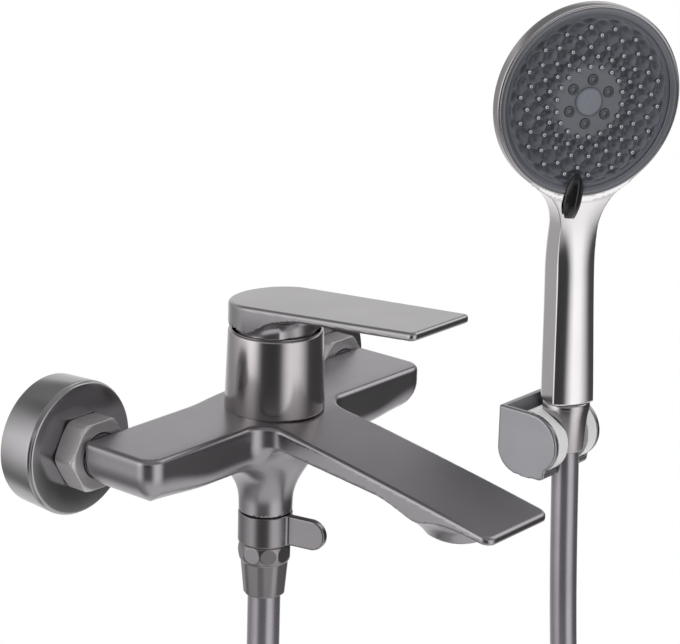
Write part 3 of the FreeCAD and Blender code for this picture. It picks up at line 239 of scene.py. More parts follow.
def trimmed(a, b, radius):
    """Intersection with a convex round of the given radius."""
    u, v = np.maximum(radius + a, 0.0), np.maximum(radius + b, 0.0)
    return np.minimum(-radius, np.maximum(a, b)) + np.hypot(u, v)


def cut(a, b):
    """The first without the second."""
    return np.maximum(a, -b)


def rectangle(x, y, low_x, high_x, low_y, high_y, radii):
    """Rounded rectangle; radii are for the corners (low low, high low, high high, low high)."""
    cx, cy = (low_x + high_x) / 2.0, (low_y + high_y) / 2.0
    right, top = x > cx, y > cy
    r = np.where(top, np.where(right, radii[2], radii[3]), np.where(right, radii[1], radii[0]))
    u = np.abs(x - cx) - (high_x - low_x) / 2.0 + r
    v = np.abs(y - cy) - (high_y - low_y) / 2.0 + r
    return np.minimum(np.maximum(u, v), 0.0) + np.hypot(np.maximum(u, 0.0), np.maximum(v, 0.0)) - r


def smooth_min(a, b, width):
    share = np.maximum(width - np.abs(a - b), 0.0) / width
    return np.minimum(a, b) - share * share * width / 4.0


def smooth_step(value, low, high):
    t = np.clip((value - low) / (high - low), 0.0, 1.0)
    return t * t * (3.0 - 2.0 * t)


def slopes(field, points, step=0.02):
    out = np.empty_like(points)
    for axis in range(3):
        near, far = points.copy(), points.copy()
        near[:, axis] -= step
        far[:, axis] += step
        out[:, axis] = (field(*far.T) - field(*near.T)) / (2.0 * step)
    return out


def surface(field, low, high, pitch):
    """Surface nets on a regular grid, then three steps onto the level itself."""
    low, high = np.array(low, float), np.array(high, float)
    counts = np.ceil((high - low) / pitch).astype(int) + 1
    axes = [low[i] + pitch * np.arange(counts[i]) for i in range(3)]
    values = np.empty(tuple(counts))
    for i, x in enumerate(axes[0]):
        yy, zz = np.meshgrid(axes[1], axes[2], indexing="ij")
        values[i] = field(np.full(yy.shape, x), yy, zz)
    inside = values < 0.0
    cells = np.zeros(tuple(counts - 1), int)
    for di in (0, 1):
        for dj in (0, 1):
            for dk in (0, 1):
                cells += inside[di:di + counts[0] - 1, dj:dj + counts[1] - 1, dk:dk + counts[2] - 1]
    active = np.argwhere((cells > 0) & (cells < 8))
    index = np.full(cells.shape, -1)
    index[tuple(active.T)] = np.arange(len(active))
    total, hits = np.zeros((len(active), 3)), np.zeros(len(active))
    for axis in range(3):
        others = [a for a in range(3) if a != axis]
        for da in (0, 1):
            for db in (0, 1):
                start = active.copy()
                start[:, others[0]] += da
                start[:, others[1]] += db
                end = start.copy()
                end[:, axis] += 1
                a, b = values[tuple(start.T)], values[tuple(end.T)]
                crossed = (a < 0.0) != (b < 0.0)
                share = np.where(crossed, a / np.where(crossed, a - b, 1.0), 0.0)
                spot = start.astype(float)
                spot[:, axis] += share
                total += spot * crossed[:, None]
                hits += crossed
    points = low + pitch * total / hits[:, None]
    faces = []
    for axis in range(3):
        u, v = [a for a in range(3) if a != axis]
        spots = np.argwhere(np.diff(inside, axis=axis))
        spots = spots[(spots[:, u] > 0) & (spots[:, v] > 0)]
        spots = spots[(spots[:, u] < counts[u] - 1) & (spots[:, v] < counts[v] - 1)]
        corners = []
        for du, dv in ((1, 1), (0, 1), (0, 0), (1, 0)):
            cell = spots.copy()
            cell[:, u] -= du
            cell[:, v] -= dv
            corners.append(index[tuple(cell.T)])
        quads = np.stack(corners, axis=1)
        outward = inside[tuple(spots.T)]
        if axis == 1:
            outward = ~outward
        quads[~outward] = quads[~outward][:, ::-1]
        faces.append(quads)
    for _ in range(3):
        value = field(*points.T)
        slope = slopes(field, points)
        size = np.maximum((slope * slope).sum(axis=1), 0.05)
        step = np.clip(value / size, -pitch, pitch)
        points = points - slope * step[:, None]
    return points, np.concatenate(faces)


def local(points):
    """Metres in the model's frame, from millimetres about the inlet axis."""
    return [(x * MM, y * MM, (z + RISE) * MM) for x, y, z in points]


def build(name, points, faces, body, look, replaced, place=None):
    """Mesh object from millimetre points about the inlet axis, riding on a body."""
    if place is not None:
        points = [place @ Vector(p) for p in points]
    mesh = bpy.data.meshes.new(name)
    mesh.from_pydata(local(points), [], [tuple(int(i) for i in f) for f in faces])
    mesh.validate()
    mesh.polygons.foreach_set("use_smooth", [True] * len(mesh.polygons))
    obj = added(name, mesh)
    obj.data.materials.append(LOOKS[look])
    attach(obj, body)
    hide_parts(*replaced)
    return obj


def shaped(name, field, low, high, pitch, body, look, replaced, place=None):
    """Mesh of a distance field inside a box, shaded by the field's own normals."""
    points, faces = surface(field, low, high, pitch)
    obj = build(name, points, faces, body, look, replaced, place)
    normals = slopes(field, points, 0.05)
    normals /= np.maximum(np.linalg.norm(normals, axis=1), 1e-9)[:, None]
    if place is not None:
        normals = normals @ np.array(place.to_3x3()).T
    obj.data.normals_split_custom_set_from_vertices([tuple(n) for n in normals])


# Mixer body


def spout_top(y):
    """Top of the body: level over the arms, then an easy bend down to the spout's gently crowned slope."""
    bend, crown_height = 8.0, 2.6
    fall = SPOUT_BREAK - y
    share = np.clip(fall / (SPOUT_BREAK - SPOUT_TIP), 0.0, 1.0)
    crown = crown_height * share * (1.0 - share)
    eased = np.where(fall < -bend, 0.0, np.where(fall > bend, fall, (fall + bend) ** 2 / (4.0 * bend)))
    return BODY_TOP - SPOUT_SLOPE * eased + crown


def spout_bottom(y):
    root_thickness, tip_thickness = 9.3, 3.4
    root_z = BODY_TOP - root_thickness
    tip_z = BODY_TOP + SPOUT_SLOPE * (SPOUT_TIP - SPOUT_BREAK) - tip_thickness
    return root_z + (tip_z - root_z) * (y - ARM_FRONT) / (SPOUT_TIP - ARM_FRONT)


def outside_field(x, y, z):
    """Cross arm, flat spout, diverter neck and outlet, flowing into each other."""
    front_corner, back_corner, tip_corner, spout_root = 8.0, 2.5, 4.5, -50.0
    neck_r, neck_spread, neck_top = 11.3, 1.2, 2.0
    outlet_r, outlet_top, outlet_cone, outlet_lean = 12.4, -8.0, 0.35, 1.06
    corners = (front_corner, front_corner, back_corner, back_corner)
    arm_plan = rectangle(x, y, -ARM_END, ARM_END, ARM_FRONT, ARM_BACK, corners)
    arm = trimmed(arm_plan, BODY_BOTTOM - z, 8.5 + 5.5 * smooth_step(np.abs(x), 48.0, 80.0))
    corners = (tip_corner, tip_corner, 0.0, 0.0)
    spout_plan = rectangle(x, y, -SPOUT_HALF, SPOUT_HALF, SPOUT_TIP, spout_root, corners)
    lean = math.hypot(1.0, SPOUT_SLOPE)
    spout = trimmed(spout_plan, (spout_bottom(y) - z) / lean, 1.3)
    shape = joined(arm, spout, 9.0)
    neck_axis = np.hypot(x, y - DIVERTER_Y)
    neck = neck_axis - neck_r - neck_spread * smooth_step(z, NECK_FLOOR, BODY_BOTTOM)
    shape = joined(shape, np.maximum(neck, z - neck_top), 21.0)
    outlet = np.hypot(x, y - OUTLET_Y) - outlet_r - outlet_cone * np.maximum(z - OUTLET_FLOOR, 0.0)
    near = smooth_step(y, OUTLET_Y - 4.0, OUTLET_Y + 10.0)
    shape = joined(shape, np.maximum(outlet / outlet_lean, z - outlet_top), 6.5 + 9.0 * near)
    shape = np.maximum(shape, np.where(y < -90.0, np.abs(x) - SPOUT_HALF, -50.0))
    shape = np.maximum(shape, SPOUT_TIP - y)
    top_round = 1.5 + 0.7 * smooth_step(y, -100.0, -70.0)
    shape = trimmed(shape, (z - spout_top(y)) / np.where(y < SPOUT_BREAK, lean, 1.0), top_round)
    floor = np.where(y > -100.0, NECK_FLOOR - z, OUTLET_FLOOR - z)
    return trimmed(shape, floor, 0.6)


def body_field(x, y, z):
    """Casting and cartridge boss, with the rooms for cartridge, nipple and aerator cut out."""
    boss_r, boss_low, boss_top, pocket_floor, nut_seat = 18.0, 6.0, 30.0, 10.5, 26.3
    cartridge_r, nut_r, nipple_r, way_r, aerator_r = 14.15, 16.2, 8.9, 6.4, 10.9
    nipple_top, way_top, aerator_top = -26.0, -12.6, -10.6
    axis = np.hypot(x, y - CARTRIDGE_Y)
    boss = np.maximum(np.maximum(axis - boss_r, z - boss_top), boss_low - z)
    shape = np.minimum(outside_field(x, y, z), boss)
    pocket = np.maximum(axis - cartridge_r, pocket_floor - z)
    shape = cut(shape, np.minimum(pocket, np.maximum(axis - nut_r, nut_seat - z)))
    neck_axis = np.hypot(x, y - DIVERTER_Y)
    bore = np.maximum(neck_axis - nipple_r, z - nipple_top)
    shape = cut(shape, np.minimum(bore, np.maximum(neck_axis - way_r, z - way_top)))
    return cut(shape, np.maximum(np.hypot(x, y - OUTLET_Y) - aerator_r, z - aerator_top))


shaped("body_casting", body_field, (-88.0, -184.0, -41.0), (88.0, -27.0, 33.0), 1.1, "mixer", "body",
       ("mixer_body",))

# Turned and swept pieces


def softened(profile):
    """Points (radius, height, optional round) of a closed outline, with its rounds drawn as arcs."""
    out, steps = [], 4
    count = len(profile)
    for i, point in enumerate(profile):
        here = Vector(point[:2])
        size = point[2] if len(point) > 2 else 0.0
        if size <= 0.0:
            out.append(tuple(here))
            continue
        before = (Vector(profile[i - 1][:2]) - here).normalized()
        after = (Vector(profile[(i + 1) % count][:2]) - here).normalized()
        half = before.angle(after) / 2.0
        centre = here + (before + after).normalized() * size / math.sin(half)
        start = here + before * size / math.tan(half) - centre
        end = here + after * size / math.tan(half) - centre
        for k in range(steps + 1):
            out.append(tuple(centre + start.slerp(end, k / steps)))
    return out


def lathe(name, profile, place, body, look, replaced, segments):
    """Closed outline turned about the local Z axis; place carries it to the piece's own axis."""
    rim = softened(profile)
    points, faces = [], []
    for k in range(segments):
        a = 2.0 * math.pi * k / segments
        points += [(r * math.cos(a), r * math.sin(a), h) for r, h in rim]
    count = len(rim)
    for k in range(segments):
        here, there = k * count, ((k + 1) % segments) * count
        for i in range(count):
            j = (i + 1) % count
            if rim[i][0] < 1e-6 and rim[j][0] < 1e-6:
                continue
            faces.append((here + i, here + j, there + j, there + i))
    tidy(build(name, points, faces, body, look, replaced, place))


def band(low, high, count):
    """Faces between two rings, each given by the number of its first point."""
    return [(low + k, low + (k + 1) % count, high + (k + 1) % count, high + k) for k in range(count)]


def tidy(obj, angle=35.0):
    """Weld doubled points, face everything outward and keep the crisp edges crisp."""
    shape = bmesh.new()
    shape.from_mesh(obj.data)
    bmesh.ops.remove_doubles(shape, verts=shape.verts, dist=0.00001)
    bmesh.ops.recalc_face_normals(shape, faces=shape.faces)
    shape.to_mesh(obj.data)
    shape.free()
    obj.data.set_sharp_from_angle(angle=math.radians(angle))


def turn(axis, degrees):
    return Matrix.Rotation(math.radians(degrees), 4, axis)


def shift(x, y, z):
    return Matrix.Translation((x, y, z))


OUT = turn("X", 90.0)


def toward_room(x):
    """Place on the inlet axis with local Z pointing out of the wall."""
    return shift(x, 0.0, 0.0) @ OUT


PX, PY, PZ = PIVOT
LEAN_PLACE = shift(*PIVOT) @ turn("X", -LEAN) @ shift(-PX, -PY, -PZ)
HELD_PLACE = LEAN_PLACE @ shift(PX, PY - FORWARD, PZ)
GRIP_PLACE = HELD_PLACE @ turn("Z", -FACE_TURN)
HEAD_PLACE = GRIP_PLACE @ shift(0.0, HEAD_FRONT, HEAD_CENTRE) @ turn("X", FACE_DOWN)
SPRAY_PLACE = HEAD_PLACE @ turn("Y", SPRAY_TURN)
HEAD_OUT, SPRAY_OUT = HEAD_PLACE @ OUT, SPRAY_PLACE @ OUT

# Hose


def tube(name, points, radius, look):
    """Round tube along a smooth line of points, in metres, closed at its ends."""
    segments = 28
    line = [Vector(p) for p in points]
    along = [(line[min(i + 1, len(line) - 1)] - line[max(i - 1, 0)]).normalized() for i in range(len(line))]
    side = along[0].orthogonal().normalized()
    verts, faces = [], []
    for point, direction in zip(line, along):
        side = (side - direction * side.dot(direction)).normalized()
        other = direction.cross(side)
        for k in range(segments):
            a = 2.0 * math.pi * k / segments
            verts.append(point + radius * (math.cos(a) * side + math.sin(a) * other))
    for i in range(len(line) - 1):
        faces += band(i * segments, (i + 1) * segments, segments)
    faces.append(tuple(range(segments))[::-1])
    faces.append(tuple(range((len(line) - 1) * segments, len(line) * segments)))
    mesh = bpy.data.meshes.new(name)
    mesh.from_pydata(verts, [], faces)
    mesh.polygons.foreach_set("use_smooth", [len(p.vertices) == 4 for p in mesh.polygons])
    obj = added(name, mesh)
    mesh.materials.append(LOOKS[look])
    tidy(obj, 60.0)
    return obj


def smooth_line(points, resolution):
    """Points along the NURBS spline that has the route's points as its control points."""
    curve = bpy.data.curves.new("route", "CURVE")
    curve.dimensions = "3D"
    curve.resolution_u = resolution
    spline = curve.splines.new("NURBS")
    spline.points.add(len(points) - 1)
    for at, point in zip(spline.points, points):
        at.co = (*point, 1.0)
    spline.order_u = 3
    spline.use_endpoint_u = True
    holder = bpy.data.objects.new("route", curve)
    mesh = bpy.data.meshes.new_from_object(holder)
    line = [v.co.copy() for v in mesh.vertices]
    bpy.data.objects.remove(holder)
    bpy.data.curves.remove(curve)
    bpy.data.meshes.remove(mesh)
    return line


def below_pivot(drop):
    """Point on the held handset's axis, that far below the holder's pivot."""
    return LEAN_PLACE @ Vector((PX, PY - FORWARD, PZ - drop))


HOSE_ROUTE = (
    (0.0, DIVERTER_Y, -63.5),
    (0.0, DIVERTER_Y, -150.0),
    (-4.0, -50.6, -238.0),
    (-4.5, -50.0, -325.0),
    (6.0, -49.2, -385.0),
    (30.0, -48.0, -438.0),
    (70.0, -46.2, -478.0),
    (124.0, -44.0, -494.0),
    (180.0, -41.6, -484.0),
    (226.0, -39.6, -449.0),
    (253.0, -38.2, -397.0),
    (263.0, -37.4, -337.0),
    (262.5, -36.2, -258.0),
    tuple(below_pivot(100.0)),
    tuple(below_pivot(40.0)),
)


def hoses():
    line = smooth_line(local(HOSE_ROUTE), 16)
    lower = tube("hose_run", line, HOSE_R * MM, "hose")
    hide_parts("hose_lower")
    upper_ends = [below_pivot(40.0), below_pivot(-8.0)]
    steps = 12
    upper_line = [upper_ends[0].lerp(upper_ends[1], i / steps) for i in range(steps + 1)]
    upper = tube("hose_end_run", local(upper_line), HOSE_R * MM, "hose")
    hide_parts("hose_upper")
    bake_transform(lower)
    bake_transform(upper)


hoses()

# Mixer: wall covers, nuts, sleeve, lever, diverter


def wall_cover(side, name):
    """Round cover with a fine line turned near its bright rim."""
    outer, inner, hole, wall, foot, depth = 27.0, 25.6, 13.45, 1.4, 0.3, 17.8
    line_low, line_mid, line_high, line_depth = depth - 1.9, depth - 1.6, depth - 1.3, 0.35
    lathe(name + "_shell", [
        (outer, foot), (outer, line_low, 0.15), (outer - line_depth, line_mid, 0.1),
        (outer - 0.05, line_high, 0.15), (outer - 0.1, depth, 0.6), (hole, depth, 0.3),
        (hole, depth - wall), (inner, depth - wall), (inner, foot),
    ], toward_room(side * INLET_X), "mixer", "turned_y", (name,), 128)


def hexagon(u, w, flats):
    """Signed distance to a hexagon with a corner along u."""
    out = np.abs(w)
    for angle in (30.0, -30.0):
        a = math.radians(angle)
        out = np.maximum(out, np.abs(u * math.cos(a) + w * math.sin(a)))
    return out - flats / 2.0


def union_nut_field(u, w, h):
    """Nut along h with its corners turned down at both ends."""
    low, high, flats, corner_r, bore = 18.6, 29.3, 28.0, 15.7, 9.45
    cone_r, cone_slope, cone_lean = 14.2, 1.9, 2.15
    axis = np.hypot(u, w)
    end = np.maximum(low - h, h - high)
    shape = trimmed(hexagon(u, w, flats), axis - corner_r, 0.25)
    shape = trimmed(shape, end, 0.3)
    shape = trimmed(shape, (axis - cone_r + end * cone_slope) / cone_lean, 0.3)
    return np.maximum(shape, bore - axis)


for side, word in ((-1, "left"), (1, "right")):
    wall_cover(side, "escutcheon_" + word)
    shaped("union_nut_%s_hex" % word, union_nut_field, (-17.0, -17.0, 17.0), (17.0, 17.0, 31.0), 0.55,
           "mixer", "nut", ("union_nut_" + word,), toward_room(side * INLET_X))

lathe("sleeve_turned", [
    (20.0, 8.9, 0.2), (19.25, 41.7, 0.6), (18.4, 41.7, 0.3), (18.4, 8.9),
], shift(0.0, CARTRIDGE_Y, 0.0), "mixer", "turned", ("housing_sleeve",), 128)


def lever_top(y):
    return LEVER_TOP + LEVER_SLOPE * (CARTRIDGE_Y - y)


def sleeve_room(x, y, z):
    """Room that the sleeve's rim needs in the lever, from rest to just past the full lift."""
    rim_inner, rim_outer, rim_top, steps, end_angle = 17.7, 20.4, 42.5, 15, 21.0
    dy, dz = y - CARTRIDGE_Y, z - LEVER_PIVOT
    room = np.inf
    for step in range(steps):
        a = math.radians(end_angle * step / (steps - 1))
        around = np.hypot(x, dy * math.cos(a) + dz * math.sin(a))
        height = -dy * math.sin(a) + dz * math.cos(a)
        rim = np.maximum(np.maximum(around - rim_outer, rim_inner - around), height - (rim_top - LEVER_PIVOT))
        room = np.minimum(room, rim)
    return room


def lever_field(x, y, z):
    """Flat paddle over a round hub, with a hollowed underside between the two."""
    back_r, tip_half, plate, skirt_low = 19.6, 18.2, 3.4, 46.0
    hub_r, hub_low, core_r, core_low, pocket_r, pocket_top = 19.2, 42.6, 17.2, 40.4, 14.0, 50.0
    ahead = CARTRIDGE_Y - y
    axis = np.hypot(x, ahead)
    taper = (back_r - tip_half) / (CARTRIDGE_Y - LEVER_TIP)
    straight = trimmed(np.abs(x) - (back_r - taper * ahead), LEVER_TIP - y, 2.6)
    plan = np.where(ahead > 0.0, straight, axis - back_r)
    top = z - lever_top(y)
    rise = 1.0 - smooth_step(y, -86.0, -44.0)
    skirt = skirt_low + (lever_top(y) - plate - skirt_low) * rise
    paddle = trimmed(plan, skirt - z, 1.0)
    front = smooth_step(ahead / np.maximum(axis, 1.0), 0.70, 0.95)
    hub = np.maximum(trimmed(axis - (hub_r - 2.0 * front), hub_low - z, 0.4), top + 2.0)
    hub = np.minimum(hub, np.maximum(np.maximum(axis - core_r, core_low - z), z - skirt_low))
    shape = np.maximum(joined(paddle, hub, 5.0), plan)
    shape = cut(trimmed(shape, top, 1.5), np.maximum(axis - pocket_r, z - pocket_top))
    return cut(shape, sleeve_room(x, y, z))


shaped("lever_paddle", lever_field, (-22.0, -142.0, 39.0), (22.0, -33.0, 64.0), 0.75, "lever", "lever",
       ("lever_handle",))


def collar_field(x, y, z):
    """Round collar with a flat thumb paddle that ends in a full round."""
    paddle_turn, paddle_reach, paddle_half, bore = math.radians(12.0), 29.0, 1.6, 8.1
    low, high = COLLAR_TOP - COLLAR_HEIGHT, COLLAR_TOP
    mid, half = (low + high) / 2.0, COLLAR_HEIGHT / 2.0
    dy = y - DIVERTER_Y
    axis = np.hypot(x, dy)
    ring = trimmed(axis - COLLAR_R, np.abs(z - mid) - half, 0.5)
    across = x * math.cos(paddle_turn) + dy * math.sin(paddle_turn)
    out = x * math.sin(paddle_turn) - dy * math.cos(paddle_turn)
    straight = paddle_reach - half
    blade = np.where(out > straight, np.hypot(out - straight, z - mid), np.abs(z - mid)) - (half - 0.15)
    blade = trimmed(blade, np.abs(across) - paddle_half, 0.6)
    blade = np.maximum(blade, -out)
    shape = np.maximum(joined(ring, blade, 1.2), np.abs(z - mid) - half)
    return np.maximum(shape, bore - axis)


shaped("diverter_paddle", collar_field, (-13.0, -86.0, -53.5), (21.0, -38.0, -37.5), 0.55, "diverter",
       "collar", ("diverter_collar",))


def hose_nut_field(x, y, z):
    """Grip band with nine oval flats over a tapering, faceted skirt."""
    top, band, height, count, bore = HOSE_NUT_TOP, 7.9, 23.4, 9, 7.02
    grip_r, grip_swell, grip_flat = 11.35, 0.75, 10.72
    skirt_r, skirt_r_fall, skirt_flat, skirt_flat_fall = 10.25, 1.45, 9.95, 1.35
    axis = np.hypot(x, y)
    angle = np.arctan2(y, x) + math.pi / 2.0
    step = 2.0 * math.pi / count
    facing = axis * np.cos((angle + step / 2.0) % step - step / 2.0)
    mid = top - band / 2.0
    swell = ((z - mid) / (band / 2.0)) ** 2
    grip = trimmed(axis - (grip_r - grip_swell * swell), np.abs(z - mid) - band / 2.0, 0.4)
    grip = trimmed(grip, facing - grip_flat, 0.12)
    fall = (top - band - z) / (height - band)
    skirt = axis - (skirt_r - skirt_r_fall * fall)
    skirt = trimmed(facing - (skirt_flat - skirt_flat_fall * fall), skirt, 0.15)
    skirt = trimmed(skirt, top - height - z, 0.5)
    skirt = np.maximum(skirt, z - (top - band + 1.0))
    return np.maximum(joined(grip, skirt, 0.7), bore - axis)


shaped("mixer_hose_grip_nut", hose_nut_field, (-12.5, -12.5, -77.0), (12.5, 12.5, -51.5), 0.42, "mixer",
       "collar", ("mixer_hose_nut",), shift(0.0, DIVERTER_Y, 0.0))

# Handset


def head_parts(x, y, z):
    """Radius from the head's axis and depth behind its front plane, in the grip's frame."""
    a = math.radians(FACE_DOWN)
    dy, dz = y - HEAD_FRONT, z - HEAD_CENTRE
    depth = dy * math.cos(a) + dz * math.sin(a)
    up = -dy * math.sin(a) + dz * math.cos(a)
    return np.hypot(x, up), depth


def grip_half_width(z):
    """Straight grip, then a fillet that meets the head's circle."""
    foot_half, slimming, fillet, start, circle_from, least = 11.4, 1.1, 27.0, 110.8, 134.3, 6.0
    half = foot_half - slimming * smooth_step(z, 10.0, 95.0)
    rise = np.clip(z - start, 0.0, fillet * 0.85)
    flare = half + fillet - np.sqrt(fillet ** 2 - rise ** 2)
    circle = np.sqrt(np.maximum(HEAD_R ** 2 - (z - HEAD_CENTRE) ** 2, 0.0))
    return np.maximum(np.where(z > circle_from, np.minimum(circle, flare), flare), least)


def dome_field(around, depth):
    """Back of the head: a cone from the rim under a low, well rounded cap."""
    slope = (around - HEAD_R) * 0.46 + (depth - 9.8) * 0.888
    return trimmed(trimmed(around - HEAD_R, slope, 6.0), depth - 23.0, 14.0)


def grip_field(x, y, z):
    """Flat-fronted grip that widens into the head and lies in its front plane there."""
    front_y, back_y, back_rise, foot, top = -11.0, 11.0, 11.9, 20.0, 152.0
    foot_crown, head_crown = 3.0, 0.25
    half = grip_half_width(z)
    widening = 1.7 * np.clip((z - 111.0) / 27.0, 0.0, 1.0)
    side = (np.abs(x) - half) / np.sqrt(1.0 + widening ** 2)
    plane = HEAD_FRONT - 0.25 - (z - HEAD_CENTRE) * math.tan(math.radians(FACE_DOWN))
    crown = foot_crown + (head_crown - foot_crown) * smooth_step(z, 88.0, 136.0)
    front = front_y + (plane - front_y) * smooth_step(z, 90.0, 131.5) + crown * (x / half) ** 2 - y
    front = front / np.sqrt(1.0 + (2.0 * crown * np.minimum(np.abs(x), half) / half ** 2) ** 2)
    shape = trimmed(side, y - (back_y - back_rise * smooth_step(z, 86.5, 150.5)), 6.0)
    shape = trimmed(trimmed(shape, front, 0.7), foot - z, 1.0)
    return np.maximum(shape, z - top)


def shell_field(x, y, z):
    """Head and grip in one, hollowed for the face, the room behind it, the bezel and the inlet stub."""
    wall, room_r, room_depth, face_depth, ledge_depth = 2.4, 44.3, 20.6, 10.5, 2.0
    socket_r, socket_top, bezel_inner, bezel_depth, bezel_gap = 8.4, 27.0, 45.0, 5.7, 3.2
    around, depth = head_parts(x, y, z)
    dome = dome_field(around, depth)
    grip = grip_field(x, y, z)
    shape = smooth_min(trimmed(dome, -depth, 0.8), grip, 3.0)
    shape = np.maximum(shape, np.where(z > 126.0, -0.25 - depth, -50.0))
    opening = np.maximum(around - room_r, depth - face_depth)
    opening = np.minimum(opening, np.maximum(around - BEZEL_R, depth - ledge_depth))
    room = np.maximum(np.maximum(dome + wall, around - room_r), depth - room_depth)
    shape = cut(shape, np.minimum(opening, room))
    shape = cut(shape, np.maximum(np.hypot(x, y) - socket_r, z - socket_top))
    return cut(shape, np.maximum(np.maximum(bezel_inner - around, depth - bezel_depth), bezel_gap - grip))


shaped("handset_body", shell_field, (-50.0, -27.0, 18.5), (50.0, 16.0, 227.0), 0.85, "handset", "handset",
       ("handset_shell",), GRIP_PLACE)

lathe("head_bezel", [
    (44.5, -5.9), (HEAD_R - 0.06, -5.9), (HEAD_R - 0.06, 0.0, 1.0),
    (BEZEL_R, 0.0, 0.25), (BEZEL_R, -2.0), (44.5, -2.0),
], HEAD_OUT, "handset", "bezel", ("handset_shell",), 192)
lathe("face_lip", [
    (44.15, -2.0), (RING_R - 0.05, -2.0), (RING_R - 0.05, -0.1, 0.4), (45.3, 0.25, 0.4), (44.15, -0.7, 0.1),
], HEAD_OUT, "handset", "plate_rim", ("face_ring",), 192)


def plate_height(radius, angle):
    """Dished cells in slanting rows between the nozzles, a flat centre and a cove at the edge."""
    plate_depth, dish_depth, cove_depth, groove_depth = 1.4, 3.0, 0.9, 1.2
    cove_r, cove_width, groove_r, groove_width = 42.0, 1.3, 6.5, 0.22
    rings = (12.9,) + NOZZLE_RINGS + (41.6,)
    s = np.interp(radius, rings, np.arange(len(rings)) - 1.0)
    t = angle / math.radians(HALF_SPACING)
    a, b = (s + t) / 2.0, (t - s) / 2.0
    dish = (np.abs(np.sin(math.pi * a)) * np.abs(np.sin(math.pi * b))) ** 0.9
    inner = smooth_step(radius, 17.0, 21.5)
    outer = 1.0 - smooth_step(radius, 39.6, 41.4)
    cove = cove_depth * np.exp(-((radius - cove_r) / cove_width) ** 2)
    groove = groove_depth * np.exp(-((radius - groove_r) / groove_width) ** 2)
    return -plate_depth - dish_depth * dish * inner * outer - cove - groove


def face_plate():
    """Polar sheet with the cells in it, closed at the back."""
    count, back_height, rim_drop = 504, -4.4, 0.5
    centre_radii = (0.01, 3.0, 6.0, 6.2, 6.35, 6.5, 6.65, 6.8, 7.2, 9.0, 11.0)
    radii = np.concatenate([centre_radii, np.arange(12.6, 43.4, 0.42), (43.5, PLATE_R)])
    angles = 2.0 * math.pi * np.arange(count) / count
    rr, aa = np.meshgrid(radii, angles, indexing="ij")
    heights = plate_height(rr, aa)
    heights[-1] -= rim_drop
    points = np.stack([rr * np.cos(aa), rr * np.sin(aa), heights], axis=-1).reshape(-1, 3)
    back = np.full(count, back_height)
    back = np.stack([PLATE_R * np.cos(angles), PLATE_R * np.sin(angles), back], axis=-1)
    points = [tuple(p) for p in np.concatenate([points, back])]
    rows = len(radii)
    faces = []
    for i in range(rows):
        for k in range(count):
            n = (k + 1) % count
            faces.append((i * count + k, (i + 1) * count + k, (i + 1) * count + n, i * count + n))
    faces.append(tuple(range(rows * count, (rows + 1) * count))[::-1])
    faces.append(tuple(range(count)))
    obj = build("face_plate", points, faces, "spray_head", "plate", ("spray_plate",),
                SPRAY_OUT)
    obj.data.set_sharp_from_angle(angle=math.radians(50.0))


face_plate()


def peg_places(radius, count, start):
    angles = [math.radians(start + 360.0 * i / count) for i in range(count)]
    return [(radius * math.cos(a), radius * math.sin(a)) for a in angles]


def round_points(x, y, radius, height, count):
    angles = [2.0 * math.pi * k / count for k in range(count)]
    return [(x + radius * math.cos(a), y + radius * math.sin(a), height) for a in angles]


def pegs(name, places, profile, look_list, replaced, segments=14):
    """The same small turned shape at many places; each profile point has its look's number."""
    points, faces, kinds = [], [], []
    for x, y in places:
        base = len(points)
        for radius, height, _ in profile:
            points += round_points(x, y, radius, height, segments)
        last = base + (len(profile) - 1) * segments
        for low, (_, _, kind) in zip(range(base, last, segments), profile[1:]):
            faces += band(low, low + segments, segments)
            kinds += [kind] * segments
        faces += [tuple(range(last, last + segments)), tuple(range(base, base + segments))[::-1]]
        kinds += [profile[-1][2], profile[0][2]]
    obj = build(name, points, faces, "spray_head", look_list[0], replaced, SPRAY_OUT)
    for look in look_list[1:]:
        obj.data.materials.append(LOOKS[look])
    obj.data.polygons.foreach_set("material_index", kinds)
    obj.data.set_sharp_from_angle(angle=math.radians(40.0))


nozzle_places = []
for row, ring_radius in enumerate(NOZZLE_RINGS):
    nozzle_places += peg_places(ring_radius, NOZZLES_PER_RING, HALF_SPACING * (row % 2))
# Nozzles: dark base and silicone tip; the pin hole's dark floor is painted shade
pegs("spray_nozzles", nozzle_places, [
    (1.5, -3.2, 1), (1.5, -1.36, 1), (1.08, -1.32, 1), (0.98, -1.25, 1), (0.9, -0.4, 1), (0.78, -0.14, 0),
    (0.36, -0.1, 0), (0.33, -0.5, 1),
], ["silicone", "dark"], ("nozzle_mat",))
# Centre jets: a near-black painted shadow ring on the plate, a grey lip, then a dark inner ring and a
# near-black hole, both painted shade
pegs("centre_jets", peg_places(11.0, 6, 90.0), [
    (2.85, -3.2, 2), (2.85, -1.34, 2), (2.35, -1.3, 2), (2.25, -0.75, 0), (1.9, -0.6, 0),
    (1.75, -0.9, 1), (1.25, -0.95, 1), (1.15, -1.3, 2), (1.1, -2.4, 2),
], ["jet", "dark", "painted_jet_shade"], ("jet_nozzles",), 28)
lathe("centre_disc", [
    (0.0, -2.2), (6.2, -2.2), (6.2, -1.1, 0.25), (0.0, -0.95),
], SPRAY_OUT, "spray_head", "cap", ("centre_cap",), 64)


